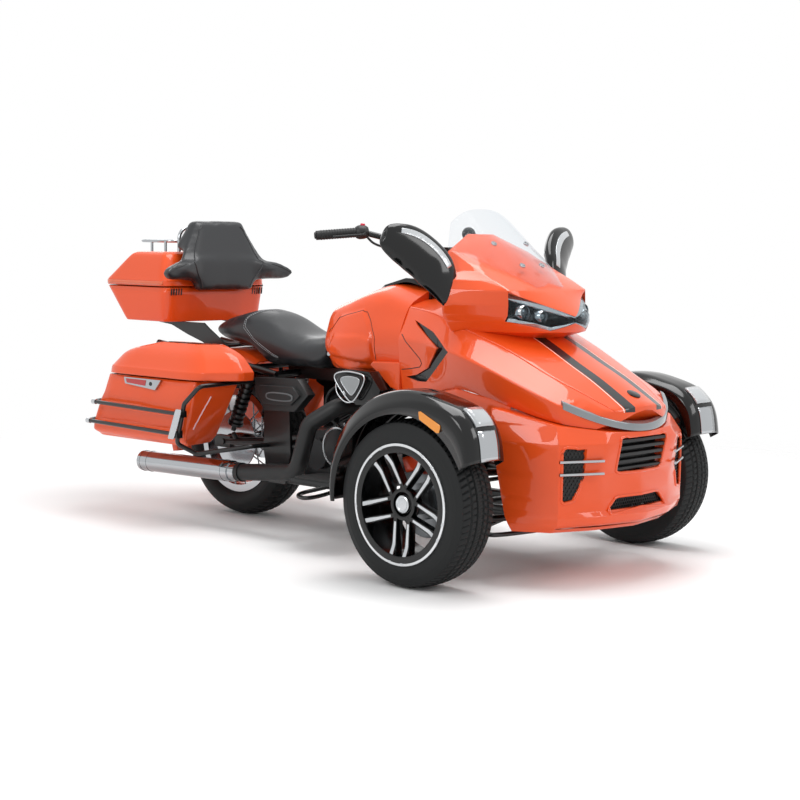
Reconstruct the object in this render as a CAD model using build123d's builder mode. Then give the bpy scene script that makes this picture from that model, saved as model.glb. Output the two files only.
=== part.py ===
from build123d import *
import os
from math import cos, radians, sin, tan

# Three-wheeled touring motorcycle: two steered front wheels under cycle fenders, one driven rear wheel,
# a body shell with hood, bumper and upper fairing, a V-twin engine, two saddlebags and a top case.
# Millimetres. X is forward, Y is the rider's left, Z is up, and the origin is on the ground at mid length.
SIDES = (("right", -1), ("left", 1))

# Stance
WHEELBASE = 1528
FRONT_TRACK = 1260
FRONT_AXLE_X = 825
REAR_AXLE_X = FRONT_AXLE_X - WHEELBASE
PANEL_WALL = 5
SEAT_GAP = 0.3
MOVING_GAP = 6

# Front wheels
FRONT_TYRE_RADIUS = 281
FRONT_TYRE_WIDTH = 171
FRONT_RIM_RADIUS = 203
FRONT_RIM_WIDTH = 160
RIM_LIP = 7
RIM_BARREL_RADIUS = 178
HUB_RADIUS = 42
SPOKE_PAIRS = 5
SPOKE_PHASE = 51
SPOKE_SPREAD = 29
SPOKE_HUB_WIDTH = 13
SPOKE_RIM_WIDTH = 22
SPOKE_OUTER_OFFSET = 68
SPOKE_DEPTH = 30
DISC_RADIUS = 125
DISC_OFFSET = -52
DISC_THICKNESS = 8

# Front suspension and steering
KINGPIN_OFFSET = -96
KINGPIN_RADIUS = 10
PIN_CLEARANCE = 0.3
ARM_HEIGHT = 80
ARM_EYE_RADIUS = 20
ARM_EYE_HEIGHT = 24
ARM_TUBE_RADIUS = 12
ARM_PIVOT_X = 110
ARM_PIVOT_Y = 195
SPINDLE_RADIUS = 20
UPRIGHT_HALF_HEIGHT = 62
STEERING_ARM = 110
TIE_ROD_OFFSET = 18
TIE_ROD_RADIUS = 8
TIE_EYE_RADIUS = 15
TIE_PIN_RADIUS = 6
TIE_EYE_HEIGHT = 12
PITMAN_SHAFT_RADIUS = 16
COLUMN_RAKE = 25
COLUMN_TOP_X = 400
COLUMN_TOP_Z = 1100
COLUMN_RADIUS = 14

# Frame tubes
RAIL_RADIUS = 20
RAIL_Y = 150
LOWER_RAIL_Z = 200
UPPER_RAIL_Z = 350
FRAME_FRONT_X = 1018
FRAME_REAR_X = -390
SEAT_RAIL_Y = 175
SEAT_RAIL_RADIUS = 14
BACKBONE_TOP_Z = 640
BACKBONE_HEIGHT = 50
TANK_FOOT_Z = 652
PIPE_Y = 330
SHOCK_TOP_Z = 556
SHOCK_TOP_Y = 270
SHOCK_FOOT_Y = 410

# Rear wheel
REAR_TYRE_RADIUS = 311
REAR_TYRE_WIDTH = 169
REAR_RIM_RADIUS = 215
REAR_RIM_WIDTH = 120
REAR_AXLE_RADIUS = 12
REAR_SPOKES = 20
SWINGARM_PIVOT_X = -330
SWINGARM_PIVOT_Z = 340
SWINGARM_Y = 127

# Seam between the body shell and the front bumper: a plane that drops towards the nose
SEAM_X = 950
SEAM_Z = 590
SEAM_SLOPE = -0.211
PANEL_SEAM = 2

front_y = FRONT_TRACK / 2
front_z = FRONT_TYRE_RADIUS
rear_z = REAR_TYRE_RADIUS
os.makedirs("parts", exist_ok=True)


def save(builder, name):
    """Label a finished piece and write it to its own file."""
    builder.part.label = name
    export_step(builder.part, f"parts/{name}.step")


def rod(start, end, radius, mode=Mode.ADD):
    """Round bar from start to end, in the open part."""
    along = Vector(*end) - Vector(*start)
    with BuildSketch(Plane(origin=start, z_dir=along)) as section:
        Circle(radius)
    extrude(section.sketch, amount=along.length, mode=mode)


def tube(points, bend, radius):
    """Round tube along straight runs joined by bends of one radius, in the open part."""
    with BuildLine() as path:
        FilletPolyline(*points, radius=bend)
    with BuildSketch(Plane(origin=path.line @ 0, z_dir=path.line % 0)) as section:
        Circle(radius)
    sweep(section.sketch, path=path.line)


def block(low, high, mode=Mode.ADD):
    """Box between two opposite corners, in the open part."""
    middle = tuple((a + b) / 2 for a, b in zip(low, high))
    with Locations(middle):
        Box(high[0] - low[0], high[1] - low[1], high[2] - low[2], mode=mode)


def turned(centre, side, profile, mode=Mode.ADD):
    """Ring about the crosswise axis through centre, from (radius, outward offset) points, in the open part."""
    with BuildSketch(Plane(origin=centre, x_dir=(1, 0, 0), z_dir=(0, 0, 1))) as section:
        with BuildLine():
            Polyline(*[(radius, side * offset) for radius, offset in profile], close=True)
        make_face()
    revolve(section.sketch, axis=Axis(centre, (0, 1, 0)), mode=mode)


def tyre_ring(centre, bead_radius, lip_radius, tyre_radius, bead_width, tyre_width, tread_width, shoulder_drop):
    """Tyre as one closed ring: flat beads, bulged sidewalls and a crowned tread, in the open part."""
    bead, wall, tread = bead_width / 2, tyre_width / 2, tread_width / 2
    shoulder = tyre_radius - shoulder_drop
    wall_radius = (lip_radius + shoulder) / 2
    with BuildSketch(Plane(origin=centre, x_dir=(1, 0, 0), z_dir=(0, 0, 1))) as section:
        with BuildLine():
            Line((bead_radius, -bead), (bead_radius, bead))
            Line((bead_radius, bead), (lip_radius, bead))
            ThreePointArc((lip_radius, bead), (wall_radius, wall), (shoulder, tread))
            ThreePointArc((shoulder, tread), (tyre_radius, 0), (shoulder, -tread))
            ThreePointArc((shoulder, -tread), (wall_radius, -wall), (lip_radius, -bead))
            Line((lip_radius, -bead), (bead_radius, -bead))
        make_face()
    revolve(section.sketch, axis=Axis(centre, (0, 1, 0)))


def side_prism(points, low_y, high_y, mode=Mode.ADD):
    """Side-view outline, as (X, Z) points, made solid between two Y values, in the open part."""
    with BuildSketch(Plane(origin=(0, low_y, 0), x_dir=(1, 0, 0), z_dir=(0, -1, 0))) as section:
        with BuildLine():
            Polyline(*points, close=True)
        make_face()
    extrude(section.sketch, amount=low_y - high_y, mode=mode)


def front_prism(points, low_x, high_x, mode=Mode.ADD):
    """Front-view outline, as (Y, Z) points, made solid between two X values, in the open part."""
    with BuildSketch(Plane.YZ.offset(low_x)) as section:
        with BuildLine():
            Polyline(*points, close=True)
        make_face()
    extrude(section.sketch, amount=high_x - low_x, mode=mode)


def plan_prism(points, low_z, high_z, mode=Mode.ADD):
    """Plan-view outline, as (X, Y) points, made solid between two Z values, in the open part."""
    with BuildSketch(Plane.XY.offset(low_z)) as section:
        with BuildLine():
            Polyline(*points, close=True)
        make_face()
    extrude(section.sketch, amount=high_z - low_z, mode=mode)


def both(half):
    """Closed outline from the points on its +first-axis half, mirrored on the other side."""
    return list(half) + [(-a, b) for a, b in reversed(half) if a != 0]


def below_seam(x):
    """Height of the seam between the body shell and the bumper at x."""
    return SEAM_Z + SEAM_SLOPE * (x - SEAM_X)


# Front wheels: tyre, alloy rim with five parallel spoke pairs, and brake disc on the hub
for name, side in SIDES:
    centre = (FRONT_AXLE_X, side * front_y, front_z)
    face = Plane(origin=centre, x_dir=(1, 0, 0), z_dir=(0, side, 0))
    with BuildPart() as tyre:
        tyre_ring(
            centre, RIM_BARREL_RADIUS + SEAT_GAP, FRONT_RIM_RADIUS + SEAT_GAP, FRONT_TYRE_RADIUS,
            FRONT_RIM_WIDTH - 2 * SEAT_GAP, FRONT_TYRE_WIDTH, 128, 8,
        )
    save(tyre, f"tyre_{name}")

    lip = FRONT_RIM_WIDTH / 2 + RIM_LIP
    seat = FRONT_RIM_WIDTH / 2
    bore = SPINDLE_RADIUS + PIN_CLEARANCE
    barrel_inside = RIM_BARREL_RADIUS - 6
    hub_inner = DISC_OFFSET + 32
    with BuildPart() as rim:
        turned(centre, side, [
            (FRONT_RIM_RADIUS, lip), (FRONT_RIM_RADIUS, seat), (RIM_BARREL_RADIUS, seat), (RIM_BARREL_RADIUS, -seat),
            (FRONT_RIM_RADIUS, -seat), (FRONT_RIM_RADIUS, -lip), (barrel_inside, -lip), (barrel_inside, lip),
        ])
        turned(centre, side, [
            (bore, hub_inner), (HUB_RADIUS, hub_inner), (HUB_RADIUS, 48), (30, 60), (0.01, 60), (0.01, 40), (bore, 40),
        ])
        with BuildSketch(face.offset(SPOKE_OUTER_OFFSET - SPOKE_DEPTH)):
            with PolarLocations(0, SPOKE_PAIRS, start_angle=-side * SPOKE_PHASE):
                for spread in (-SPOKE_SPREAD, SPOKE_SPREAD):
                    Polygon(
                        (HUB_RADIUS - 14, spread - SPOKE_HUB_WIDTH / 2), (barrel_inside + 0.5, spread - SPOKE_RIM_WIDTH / 2),
                        (barrel_inside + 0.5, spread + SPOKE_RIM_WIDTH / 2), (HUB_RADIUS - 14, spread + SPOKE_HUB_WIDTH / 2),
                        align=None,
                    )
            Circle(HUB_RADIUS + 12)
            Circle(HUB_RADIUS - 1, mode=Mode.SUBTRACT)
        extrude(amount=SPOKE_DEPTH)
    save(rim, f"rim_{name}")

    disc_out = DISC_OFFSET + DISC_THICKNESS / 2
    disc_in = DISC_OFFSET - DISC_THICKNESS / 2
    with BuildPart() as brake_disc:
        turned(centre, side, [
            (30, hub_inner), (62, hub_inner), (62, disc_out), (DISC_RADIUS, disc_out),
            (DISC_RADIUS, disc_in), (54, disc_in), (54, hub_inner - 8), (30, hub_inner - 8),
        ])
    save(brake_disc, f"brake_disc_{name}")

# Knuckles: upright, kingpin studs, wheel spindle, steering arm, brake caliper and two fender stays
kingpin_y = front_y + KINGPIN_OFFSET
STAY_OFFSET = -98
STAY_THICKNESS = 6
STAY_REACH = 330
STAY_ANGLES = (42, 138)
CALIPER_ANGLE = 75
CARRIER_OFFSET = -70
BOSS_RADIUS = 34
for name, side in SIDES:
    centre = (FRONT_AXLE_X, side * front_y, front_z)
    pin_y = side * kingpin_y
    tie_z = front_z - side * TIE_ROD_OFFSET
    face = Plane(origin=centre, x_dir=(1, 0, 0), z_dir=(0, side, 0))
    with BuildPart() as knuckle:
        near, far = sorted((pin_y - 14, pin_y + 14))
        block(
            (FRONT_AXLE_X - 22, near, front_z - UPRIGHT_HALF_HEIGHT),
            (FRONT_AXLE_X + 22, far, front_z + UPRIGHT_HALF_HEIGHT),
        )
        stud_top = ARM_HEIGHT + ARM_EYE_HEIGHT / 2
        rod(
            (FRONT_AXLE_X, pin_y, front_z - stud_top), (FRONT_AXLE_X, pin_y, front_z + stud_top), KINGPIN_RADIUS,
        )
        rod((FRONT_AXLE_X, pin_y, front_z), (FRONT_AXLE_X, side * (front_y + 39), front_z), SPINDLE_RADIUS)
        rod(
            (FRONT_AXLE_X, pin_y, front_z), (FRONT_AXLE_X, side * (front_y + disc_in - MOVING_GAP), front_z), BOSS_RADIUS,
        )
        arm_x = FRONT_AXLE_X - STEERING_ARM
        rod((FRONT_AXLE_X, pin_y, front_z), (arm_x, pin_y, front_z), 9)
        rod((arm_x, pin_y, front_z - 9), (arm_x, pin_y, front_z + 9), 14)
        rod((arm_x, pin_y, front_z), (arm_x, pin_y, tie_z - side * TIE_EYE_HEIGHT / 2), TIE_PIN_RADIUS)
        with BuildSketch(face.offset(STAY_OFFSET)):
            Circle(52)
            for angle in STAY_ANGLES:
                with Locations(Location((0, 0), -side * angle)):
                    Polygon((20, -14), (STAY_REACH, -10), (STAY_REACH, 10), (20, 14), align=None)
        extrude(amount=STAY_THICKNESS)
        with BuildSketch(face.offset(CARRIER_OFFSET)):
            with Locations(Location((0, 0), -side * CALIPER_ANGLE)):
                Polygon((10, -20), (104, -34), (142, -34), (142, 34), (104, 34), (10, 20), align=None)
        extrude(amount=disc_in - MOVING_GAP - CARRIER_OFFSET)
        with BuildSketch(face.offset(CARRIER_OFFSET)):
            with Locations(Location((0, 0), -side * CALIPER_ANGLE)):
                Polygon((98, -42), (142, -42), (142, 42), (98, 42), align=None)
        extrude(amount=34)
        turned(centre, side, [
            (BOSS_RADIUS + 1, disc_in - MOVING_GAP), (DISC_RADIUS + MOVING_GAP, disc_in - MOVING_GAP),
            (DISC_RADIUS + MOVING_GAP, disc_out + MOVING_GAP), (BOSS_RADIUS + 1, disc_out + MOVING_GAP),
        ], mode=Mode.SUBTRACT)
    save(knuckle, f"knuckle_{name}")

# Cycle fenders: a thin arched shell over each front tyre, deepest ahead of its top
# Columns: angle about the axle, flange edge radius, shoulder radius, crown radius
FENDER_SECTIONS = (
    (28, 300, 340, 352),
    (48, 300, 384, 402),
    (72, 300, 358, 382),
    (100, 299, 330, 376),
    (135, 298, 325, 374),
    (162, 298, 325, 364),
    (184, 298, 316, 344),
)
FENDER_HALF_WIDTH = 92
FENDER_CROWN_HALF_WIDTH = 60
for name, side in SIDES:
    centre = (FRONT_AXLE_X, side * front_y, front_z)
    with BuildPart() as fender:
        for angle, edge, shoulder, crown in FENDER_SECTIONS:
            out = Vector(cos(radians(angle)), 0, sin(radians(angle)))
            around = Vector(-sin(radians(angle)), 0, cos(radians(angle)))
            width, top = FENDER_HALF_WIDTH, FENDER_CROWN_HALF_WIDTH
            half = [
                (edge, width - PANEL_WALL), (edge, width), (shoulder, width), (crown - 5, top), (crown, 0),
            ]
            inner = [
                (crown - PANEL_WALL, 0), (crown - 5 - PANEL_WALL, top - 2), (shoulder - 3, width - PANEL_WALL),
            ]
            outline = half + [(r, -y) for r, y in reversed(half[:-1])]
            outline += [(r, -y) for r, y in reversed(inner[1:])] + inner
            with BuildSketch(Plane(origin=centre, x_dir=out, z_dir=around)):
                with BuildLine():
                    Polyline(*outline, close=True)
                make_face()
        loft()

    # Clear lamp at the front outer corner, set flush into the fender
    low, high = sorted((side * (front_y - 30), side * (front_y + FENDER_HALF_WIDTH + 10)))
    with BuildPart() as fender_lamp:
        side_prism([
            (FRONT_AXLE_X + x, front_z + z) for x, z in ((222, 360), (232, 262), (268, 240), (330, 226), (420, 260), (360, 400))
        ], low, high)
        add(fender.part, mode=Mode.INTERSECT)
    save(fender_lamp, f"fender_lamp_{name}")

    with BuildPart() as fender_shell:
        add(fender.part)
        add(fender_lamp.part, mode=Mode.SUBTRACT)
    save(fender_shell, f"fender_{name}")

# Control arms: upper and lower on each side, from the kingpin eyes to the frame brackets
with BuildPart() as control_arms:
    for name, side in SIDES:
        for level in (-1, 1):
            eye_z = front_z + level * ARM_HEIGHT
            eye = (FRONT_AXLE_X, side * kingpin_y, eye_z)
            rod(
                (eye[0], eye[1], eye_z - ARM_EYE_HEIGHT / 2), (eye[0], eye[1], eye_z + ARM_EYE_HEIGHT / 2), ARM_EYE_RADIUS,
            )
            for reach in (-ARM_PIVOT_X, ARM_PIVOT_X):
                pivot = (FRONT_AXLE_X + reach, side * ARM_PIVOT_Y, eye_z)
                rod((eye[0], eye[1] - side * 8, eye_z), pivot, ARM_TUBE_RADIUS)
                rod((pivot[0] - 20, pivot[1], eye_z), (pivot[0] + 20, pivot[1], eye_z), 18)
            if level < 0:
                block(
                    (FRONT_AXLE_X - 46, min(side * 395, side * 425), eye_z - 10),
                    (FRONT_AXLE_X + 46, max(side * 395, side * 425), eye_z + 10),
                )
            rod(
                (eye[0], eye[1], eye_z - 20), (eye[0], eye[1], eye_z + 20), KINGPIN_RADIUS + PIN_CLEARANCE,
                mode=Mode.SUBTRACT,
            )
save(control_arms, "control_arms")

# Shock absorbers: a sprung damper at each lower front arm and two at the swingarm
FRONT_SHOCK = (FRONT_AXLE_X, SHOCK_FOOT_Y, front_z - ARM_HEIGHT + 14), (FRONT_AXLE_X, SHOCK_TOP_Y, SHOCK_TOP_Z)
REAR_SHOCK = (REAR_AXLE_X + 70, 150, rear_z + 53), (REAR_AXLE_X + 185.6, 152, rear_z + 310.6)
with BuildPart() as shocks:
    for foot, head in (FRONT_SHOCK, REAR_SHOCK):
        for side in (-1, 1):
            low = Vector(foot[0], side * foot[1], foot[2])
            high = Vector(head[0], side * head[1], head[2])
            run = high - low
            rod(low, high, 10)
            for start, end, radius in ((0.10, 0.14, 32), (0.86, 0.90, 32), (0.50, 0.90, 20)):
                rod(low + run * start, low + run * end, radius)
            for coil in range(8):
                place = 0.16 + coil * 0.085
                rod(low + run * place, low + run * (place + 0.04), 28)
save(shocks, "shocks")

# Pitman arm: the vertical steering shaft and the arm whose one pin carries both tie rods
with BuildPart() as pitman_arm:
    rod((FRONT_AXLE_X, 0, front_z - 6), (FRONT_AXLE_X, 0, 405), PITMAN_SHAFT_RADIUS)
    plan_prism([
        (FRONT_AXLE_X + 20, -20), (FRONT_AXLE_X + 20, 20), (FRONT_AXLE_X - STEERING_ARM, 14),
        (FRONT_AXLE_X - STEERING_ARM - 14, 0), (FRONT_AXLE_X - STEERING_ARM, -14),
    ], front_z - 6, front_z + 6)
    reach = TIE_ROD_OFFSET + TIE_EYE_HEIGHT / 2
    pin_x = FRONT_AXLE_X - STEERING_ARM
    rod((pin_x, 0, front_z - reach), (pin_x, 0, front_z + reach), TIE_PIN_RADIUS)
save(pitman_arm, "pitman_arm")

for name, side in SIDES:
    tie_z = front_z - side * TIE_ROD_OFFSET
    pin_x = FRONT_AXLE_X - STEERING_ARM
    with BuildPart() as tie_rod:
        for eye_y in (0, side * kingpin_y):
            rod((pin_x, eye_y, tie_z - TIE_EYE_HEIGHT / 2), (pin_x, eye_y, tie_z + TIE_EYE_HEIGHT / 2), TIE_EYE_RADIUS)
        rod((pin_x, side * 10, tie_z), (pin_x, side * (kingpin_y - 10), tie_z), TIE_ROD_RADIUS)
        for eye_y in (0, side * kingpin_y):
            rod(
                (pin_x, eye_y, tie_z - 20), (pin_x, eye_y, tie_z + 20), TIE_PIN_RADIUS + PIN_CLEARANCE, mode=Mode.SUBTRACT,
            )
    save(tie_rod, f"tie_rod_{name}")

# Main frame: rail loops under and ahead of the engine, shock tower, backbone, pivot plates and seat rails
column_lean = tan(radians(COLUMN_RAKE))
HEAD_LOW_Z = 950
HEAD_HIGH_Z = 1020


def column_x(z):
    """X of the raked steering axis at height z."""
    return COLUMN_TOP_X + (COLUMN_TOP_Z - z) * column_lean


with BuildPart() as main_frame:
    for side in (-1, 1):
        tube([
            (FRAME_REAR_X, side * RAIL_Y, LOWER_RAIL_Z), (FRAME_FRONT_X, side * RAIL_Y, LOWER_RAIL_Z),
            (FRAME_FRONT_X, side * RAIL_Y, UPPER_RAIL_Z), (500, side * RAIL_Y, UPPER_RAIL_Z), (316, 0, 612),
        ], 50, RAIL_RADIUS)
        for reach in (-ARM_PIVOT_X, ARM_PIVOT_X):
            for level in (-1, 1):
                x = FRONT_AXLE_X + reach
                z = front_z + level * ARM_HEIGHT
                rail_z = UPPER_RAIL_Z if level > 0 else LOWER_RAIL_Z
                low, high = sorted((side * RAIL_Y, side * (ARM_PIVOT_Y - 18.3)))
                block((x - 22, low, min(z, rail_z) - 12), (x + 22, high, max(z, rail_z) + 12))
        rod((FRONT_AXLE_X, side * RAIL_Y, UPPER_RAIL_Z), (FRONT_AXLE_X, side * 215, SHOCK_TOP_Z + 12), 14)
        tube([
            (FRAME_REAR_X + 20, side * 155, 608), (-560, side * SEAT_RAIL_Y, 640), (-1080, side * SEAT_RAIL_Y, 700),
        ], 120, SEAT_RAIL_RADIUS)
        side_prism([
            (-285, 600), (-470, 600), (-470, 560), (-425, 540), (-425, 300), (-395, 178), (-300, 178), (-270, 300),
        ], side * 160, side * 172)
        rod((-372, side * 30, 612), (-372, side * 158, 608), 14)
        rod((-372, side * 165, 592), (-372, side * 165, 604), 6)
        for x, z in ((-700, 656), (-980, 688)):
            rod((x, side * SEAT_RAIL_Y, z), (x, side * SEAT_RAIL_Y, 552), 9)
        rod((-380, side * 171, 222), (-380, side * (PIPE_Y - 33.6), 232), 8)
        rod((FRAME_REAR_X + 20, side * 140, LOWER_RAIL_Z), (FRAME_REAR_X + 20, side * 165, LOWER_RAIL_Z), 18)
        side_prism([
            (-1150, 795), (-800, 795), (-770, 775), (-585, 668), (-640, 650), (-800, 716), (-900, 745), (-1000, 780),
        ], side * 160, side * 172)
    for x, z in ((FRAME_FRONT_X, LOWER_RAIL_Z), (FRAME_FRONT_X, UPPER_RAIL_Z), (640, LOWER_RAIL_Z), (640, UPPER_RAIL_Z),
                 (-370, LOWER_RAIL_Z), (60, LOWER_RAIL_Z), (-150, LOWER_RAIL_Z), (FRONT_AXLE_X, UPPER_RAIL_Z)):
        rod((x, -RAIL_Y, z), (x, RAIL_Y, z), 16)
    rod((FRONT_AXLE_X, 0, UPPER_RAIL_Z - 25), (FRONT_AXLE_X, 0, UPPER_RAIL_Z + 30), 30)
    rod(
        (FRONT_AXLE_X, 0, UPPER_RAIL_Z - 40), (FRONT_AXLE_X, 0, UPPER_RAIL_Z + 60), PITMAN_SHAFT_RADIUS + PIN_CLEARANCE,
        mode=Mode.SUBTRACT,
    )
    rod((FRONT_AXLE_X, -SHOCK_TOP_Y - 34, SHOCK_TOP_Z + 24), (FRONT_AXLE_X, SHOCK_TOP_Y + 34, SHOCK_TOP_Z + 24), 20)
    block((-430, -35, BACKBONE_TOP_Z - BACKBONE_HEIGHT), (345, 35, BACKBONE_TOP_Z))
    block((-60, -35, BACKBONE_TOP_Z), (40, 35, TANK_FOOT_Z))
    rod((-513, -SEAT_RAIL_Y, 631), (-513, SEAT_RAIL_Y, 631), 10)
    for side in (-1, 1):
        rod((FRAME_FRONT_X, side * RAIL_Y, UPPER_RAIL_Z), (1251.9, side * RAIL_Y, UPPER_RAIL_Z), 14)
    rod((-960, -SEAT_RAIL_Y, 686), (-960, SEAT_RAIL_Y, 686), 12)
    rod((-960, 0, 686), (-922.5, 0, 631.4), 10)
    rod((SWINGARM_PIVOT_X, -170, SWINGARM_PIVOT_Z), (SWINGARM_PIVOT_X, 170, SWINGARM_PIVOT_Z), 12)
save(main_frame, "main_frame")

# Swingarm: pivot tube, two legs and the rear axle
with BuildPart() as swingarm:
    rod((SWINGARM_PIVOT_X, -150, SWINGARM_PIVOT_Z), (SWINGARM_PIVOT_X, 150, SWINGARM_PIVOT_Z), 26)
    for side in (-1, 1):
        rod((SWINGARM_PIVOT_X, side * SWINGARM_Y, SWINGARM_PIVOT_Z), (REAR_AXLE_X, side * SWINGARM_Y, rear_z), 18)
        low, high = sorted((side * (SWINGARM_Y - 16), side * (SWINGARM_Y + 14)))
        block((REAR_AXLE_X - 55, low, rear_z - 24), (REAR_AXLE_X + 40, high, rear_z + 24))
        rod((REAR_AXLE_X + 70, side * SWINGARM_Y, rear_z + 10), (REAR_AXLE_X + 70, side * 150, rear_z + 40), 10)
    rod((REAR_AXLE_X, -SWINGARM_Y - 24, rear_z), (REAR_AXLE_X, SWINGARM_Y + 24, rear_z), REAR_AXLE_RADIUS)
    rod(
        (SWINGARM_PIVOT_X, -151, SWINGARM_PIVOT_Z), (SWINGARM_PIVOT_X, 151, SWINGARM_PIVOT_Z), 12 + PIN_CLEARANCE,
        mode=Mode.SUBTRACT,
    )
save(swingarm, "swingarm")

# Rear wheel: tyre and wire-spoked wheel with its hub, brake disc and belt pulley
rear_centre = (REAR_AXLE_X, 0, rear_z)
rear_barrel = REAR_RIM_RADIUS - 22
with BuildPart() as rear_tyre:
    tyre_ring(
        rear_centre, rear_barrel + SEAT_GAP, REAR_RIM_RADIUS + SEAT_GAP, REAR_TYRE_RADIUS,
        REAR_RIM_WIDTH - 2 * SEAT_GAP, REAR_TYRE_WIDTH, 130, 20,
    )
save(rear_tyre, "rear_tyre")

with BuildPart() as rear_rim:
    seat = REAR_RIM_WIDTH / 2
    lip = seat + RIM_LIP
    turned(rear_centre, 1, [
        (REAR_RIM_RADIUS, lip), (REAR_RIM_RADIUS, seat), (rear_barrel, seat), (rear_barrel, -seat),
        (REAR_RIM_RADIUS, -seat), (REAR_RIM_RADIUS, -lip), (rear_barrel - 6, -lip), (rear_barrel - 6, lip),
    ])
    bore = REAR_AXLE_RADIUS + PIN_CLEARANCE
    turned(rear_centre, 1, [
        (bore, -102), (30, -102), (30, -74), (120, -74), (120, -68), (30, -68), (26, -60), (26, 60), (30, 68),
        (85, 68), (85, 92), (30, 92), (30, 102), (bore, 102),
    ])
    for spoke in range(REAR_SPOKES):
        angle = radians(360 / REAR_SPOKES * spoke)
        lean = radians(16 if spoke % 2 else -16)
        flange = 50 if spoke % 4 < 2 else -50
        rod(
            (REAR_AXLE_X + 24 * cos(angle + lean * 4), flange, rear_z + 24 * sin(angle + lean * 4)),
            (REAR_AXLE_X + (rear_barrel - 3) * cos(angle), flange * 0.4, rear_z + (rear_barrel - 3) * sin(angle)), 3,
        )
save(rear_rim, "rear_rim")

# Rear fender: an arched shell over the rear tyre between the saddlebags
REAR_FENDER_RADIUS = 388
REAR_FENDER_HALF_WIDTH = 140
with BuildPart() as rear_fender:
    for angle, squeeze in ((62, 0), (95, 0), (130, 4), (165, 12), (192, 24)):
        out = Vector(cos(radians(angle)), 0, sin(radians(angle)))
        around = Vector(-sin(radians(angle)), 0, cos(radians(angle)))
        width = REAR_FENDER_HALF_WIDTH - squeeze
        outer = REAR_FENDER_RADIUS
        half = [(332, width - PANEL_WALL), (332, width), (outer - 26, width), (outer - 5, width - 34), (outer, 0)]
        inner = [(outer - PANEL_WALL, 0), (outer - 5 - PANEL_WALL, width - 37), (outer - 29, width - PANEL_WALL)]
        outline = half + [(r, -y) for r, y in reversed(half[:-1])]
        outline += [(r, -y) for r, y in reversed(inner[1:])] + inner
        with BuildSketch(Plane(origin=rear_centre, x_dir=out, z_dir=around)):
            with BuildLine():
                Polyline(*outline, close=True)
            make_face()
    loft()
save(rear_fender, "rear_fender")

# Tail lamp with the number-plate holder below it, on a stalk from the rear fender
PLATE_CENTRE_Z = 317
PLATE_HOLE_REACH = 73
PLATE_HOLE_RISE = 35
PLATE_HOLE_RADIUS = 3.5
with BuildPart() as tail_lamp:
    stalk = Vector(-0.951, 0, 0.309)
    foot = Vector(REAR_AXLE_X, 0, rear_z) + stalk * (REAR_FENDER_RADIUS + SEAT_GAP)
    rod(foot, foot + stalk * 40, 14)
    block((-1122, -80, 400), (-1098, 80, 460))
    block((-1116, -12, 300), (-1104, 12, 410))
    block((-1116, -90, PLATE_CENTRE_Z - 52), (-1112, 90, PLATE_CENTRE_Z + 52))
    for reach in (-PLATE_HOLE_REACH, PLATE_HOLE_REACH):
        for rise in (-PLATE_HOLE_RISE, PLATE_HOLE_RISE):
            z = PLATE_CENTRE_Z + rise
            rod((-1120, reach, z), (-1108, reach, z), PLATE_HOLE_RADIUS, mode=Mode.SUBTRACT)
save(tail_lamp, "tail_lamp")

# Engine: crankcase with round side covers, gearbox, and two finned cylinders in a V
CRANK_X, CRANK_Z = 24, 358
ENGINE_FOOT_Z = 216.3
V_ANGLE = 25
with BuildPart() as engine:
    side_prism([
        (-250, ENGINE_FOOT_Z), (150, ENGINE_FOOT_Z), (190, 262), (190, 390), (120, 440), (-60, 440), (-150, 400), (-250, 400),
    ], 110, -110)
    for side in (-1, 1):
        rod((CRANK_X, side * 100, CRANK_Z), (CRANK_X, side * 196, CRANK_Z), 78)
        rod((CRANK_X, side * 196, CRANK_Z), (CRANK_X, side * 206, CRANK_Z), 70)
        rod((-150, side * 100, 310), (-150, side * 150, 310), 60)
    for lean in (-V_ANGLE, V_ANGLE):
        axis = Vector(sin(radians(lean)), 0, cos(radians(lean)))
        base = Vector(CRANK_X - 20, 0, CRANK_Z - 20)
        rod(base + axis * 80, base + axis * 210, 52)
        for fin in range(8):
            with BuildSketch(Plane(origin=base + axis * (104 + fin * 11), x_dir=(0, 1, 0), z_dir=axis)) as plate:
                RectangleRounded(150, 118, 20)
            extrude(plate.sketch, amount=4)
        with BuildSketch(Plane(origin=base + axis * 194, x_dir=(0, 1, 0), z_dir=axis)) as head:
            RectangleRounded(164, 124, 16)
        extrude(head.sketch, amount=40)
save(engine, "engine")

# Air cleaner: rounded triangular housing on the right of the cylinders, with a raised triangular cover
with BuildPart() as air_cleaner:
    housing = [(92, 648), (150, 668), (262, 664), (322, 600), (300, 545), (200, 538), (96, 612)]
    side_prism(housing, -215, -285)
    side_prism([(128, 640), (160, 652), (252, 648), (262, 628), (212, 560), (192, 560), (128, 624)], -285, -312)
    rod((20, -35.3, 606), (20, -140, 606), 15)
    rod((20, -132, 606), (150, -230, 612), 15)
save(air_cleaner, "air_cleaner")

# Exhausts: a shielded downpipe and a long muffler low on each side
with BuildPart() as exhaust_pipes:
    for side in (-1, 1):
        tube([
            (96, side * 88, 520), (78, side * 250, 524), (-20, side * 312, 450),
            (-66, side * PIPE_Y, 262), (-390, side * PIPE_Y, 232),
        ], 62, 33)
save(exhaust_pipes, "exhaust_pipes")

with BuildPart() as mufflers:
    for side in (-1, 1):
        along = Vector(-970 + 380, 0, 222 - 233)
        start = Vector(-392.7, side * PIPE_Y, 232)
        rod(start, start + along * 0.06, 38)
        rod(start + along * 0.06, start + along, 42)
        rod(start + along * 0.985, start + along * 1.01, 30, mode=Mode.SUBTRACT)
save(mufflers, "mufflers")

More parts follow.
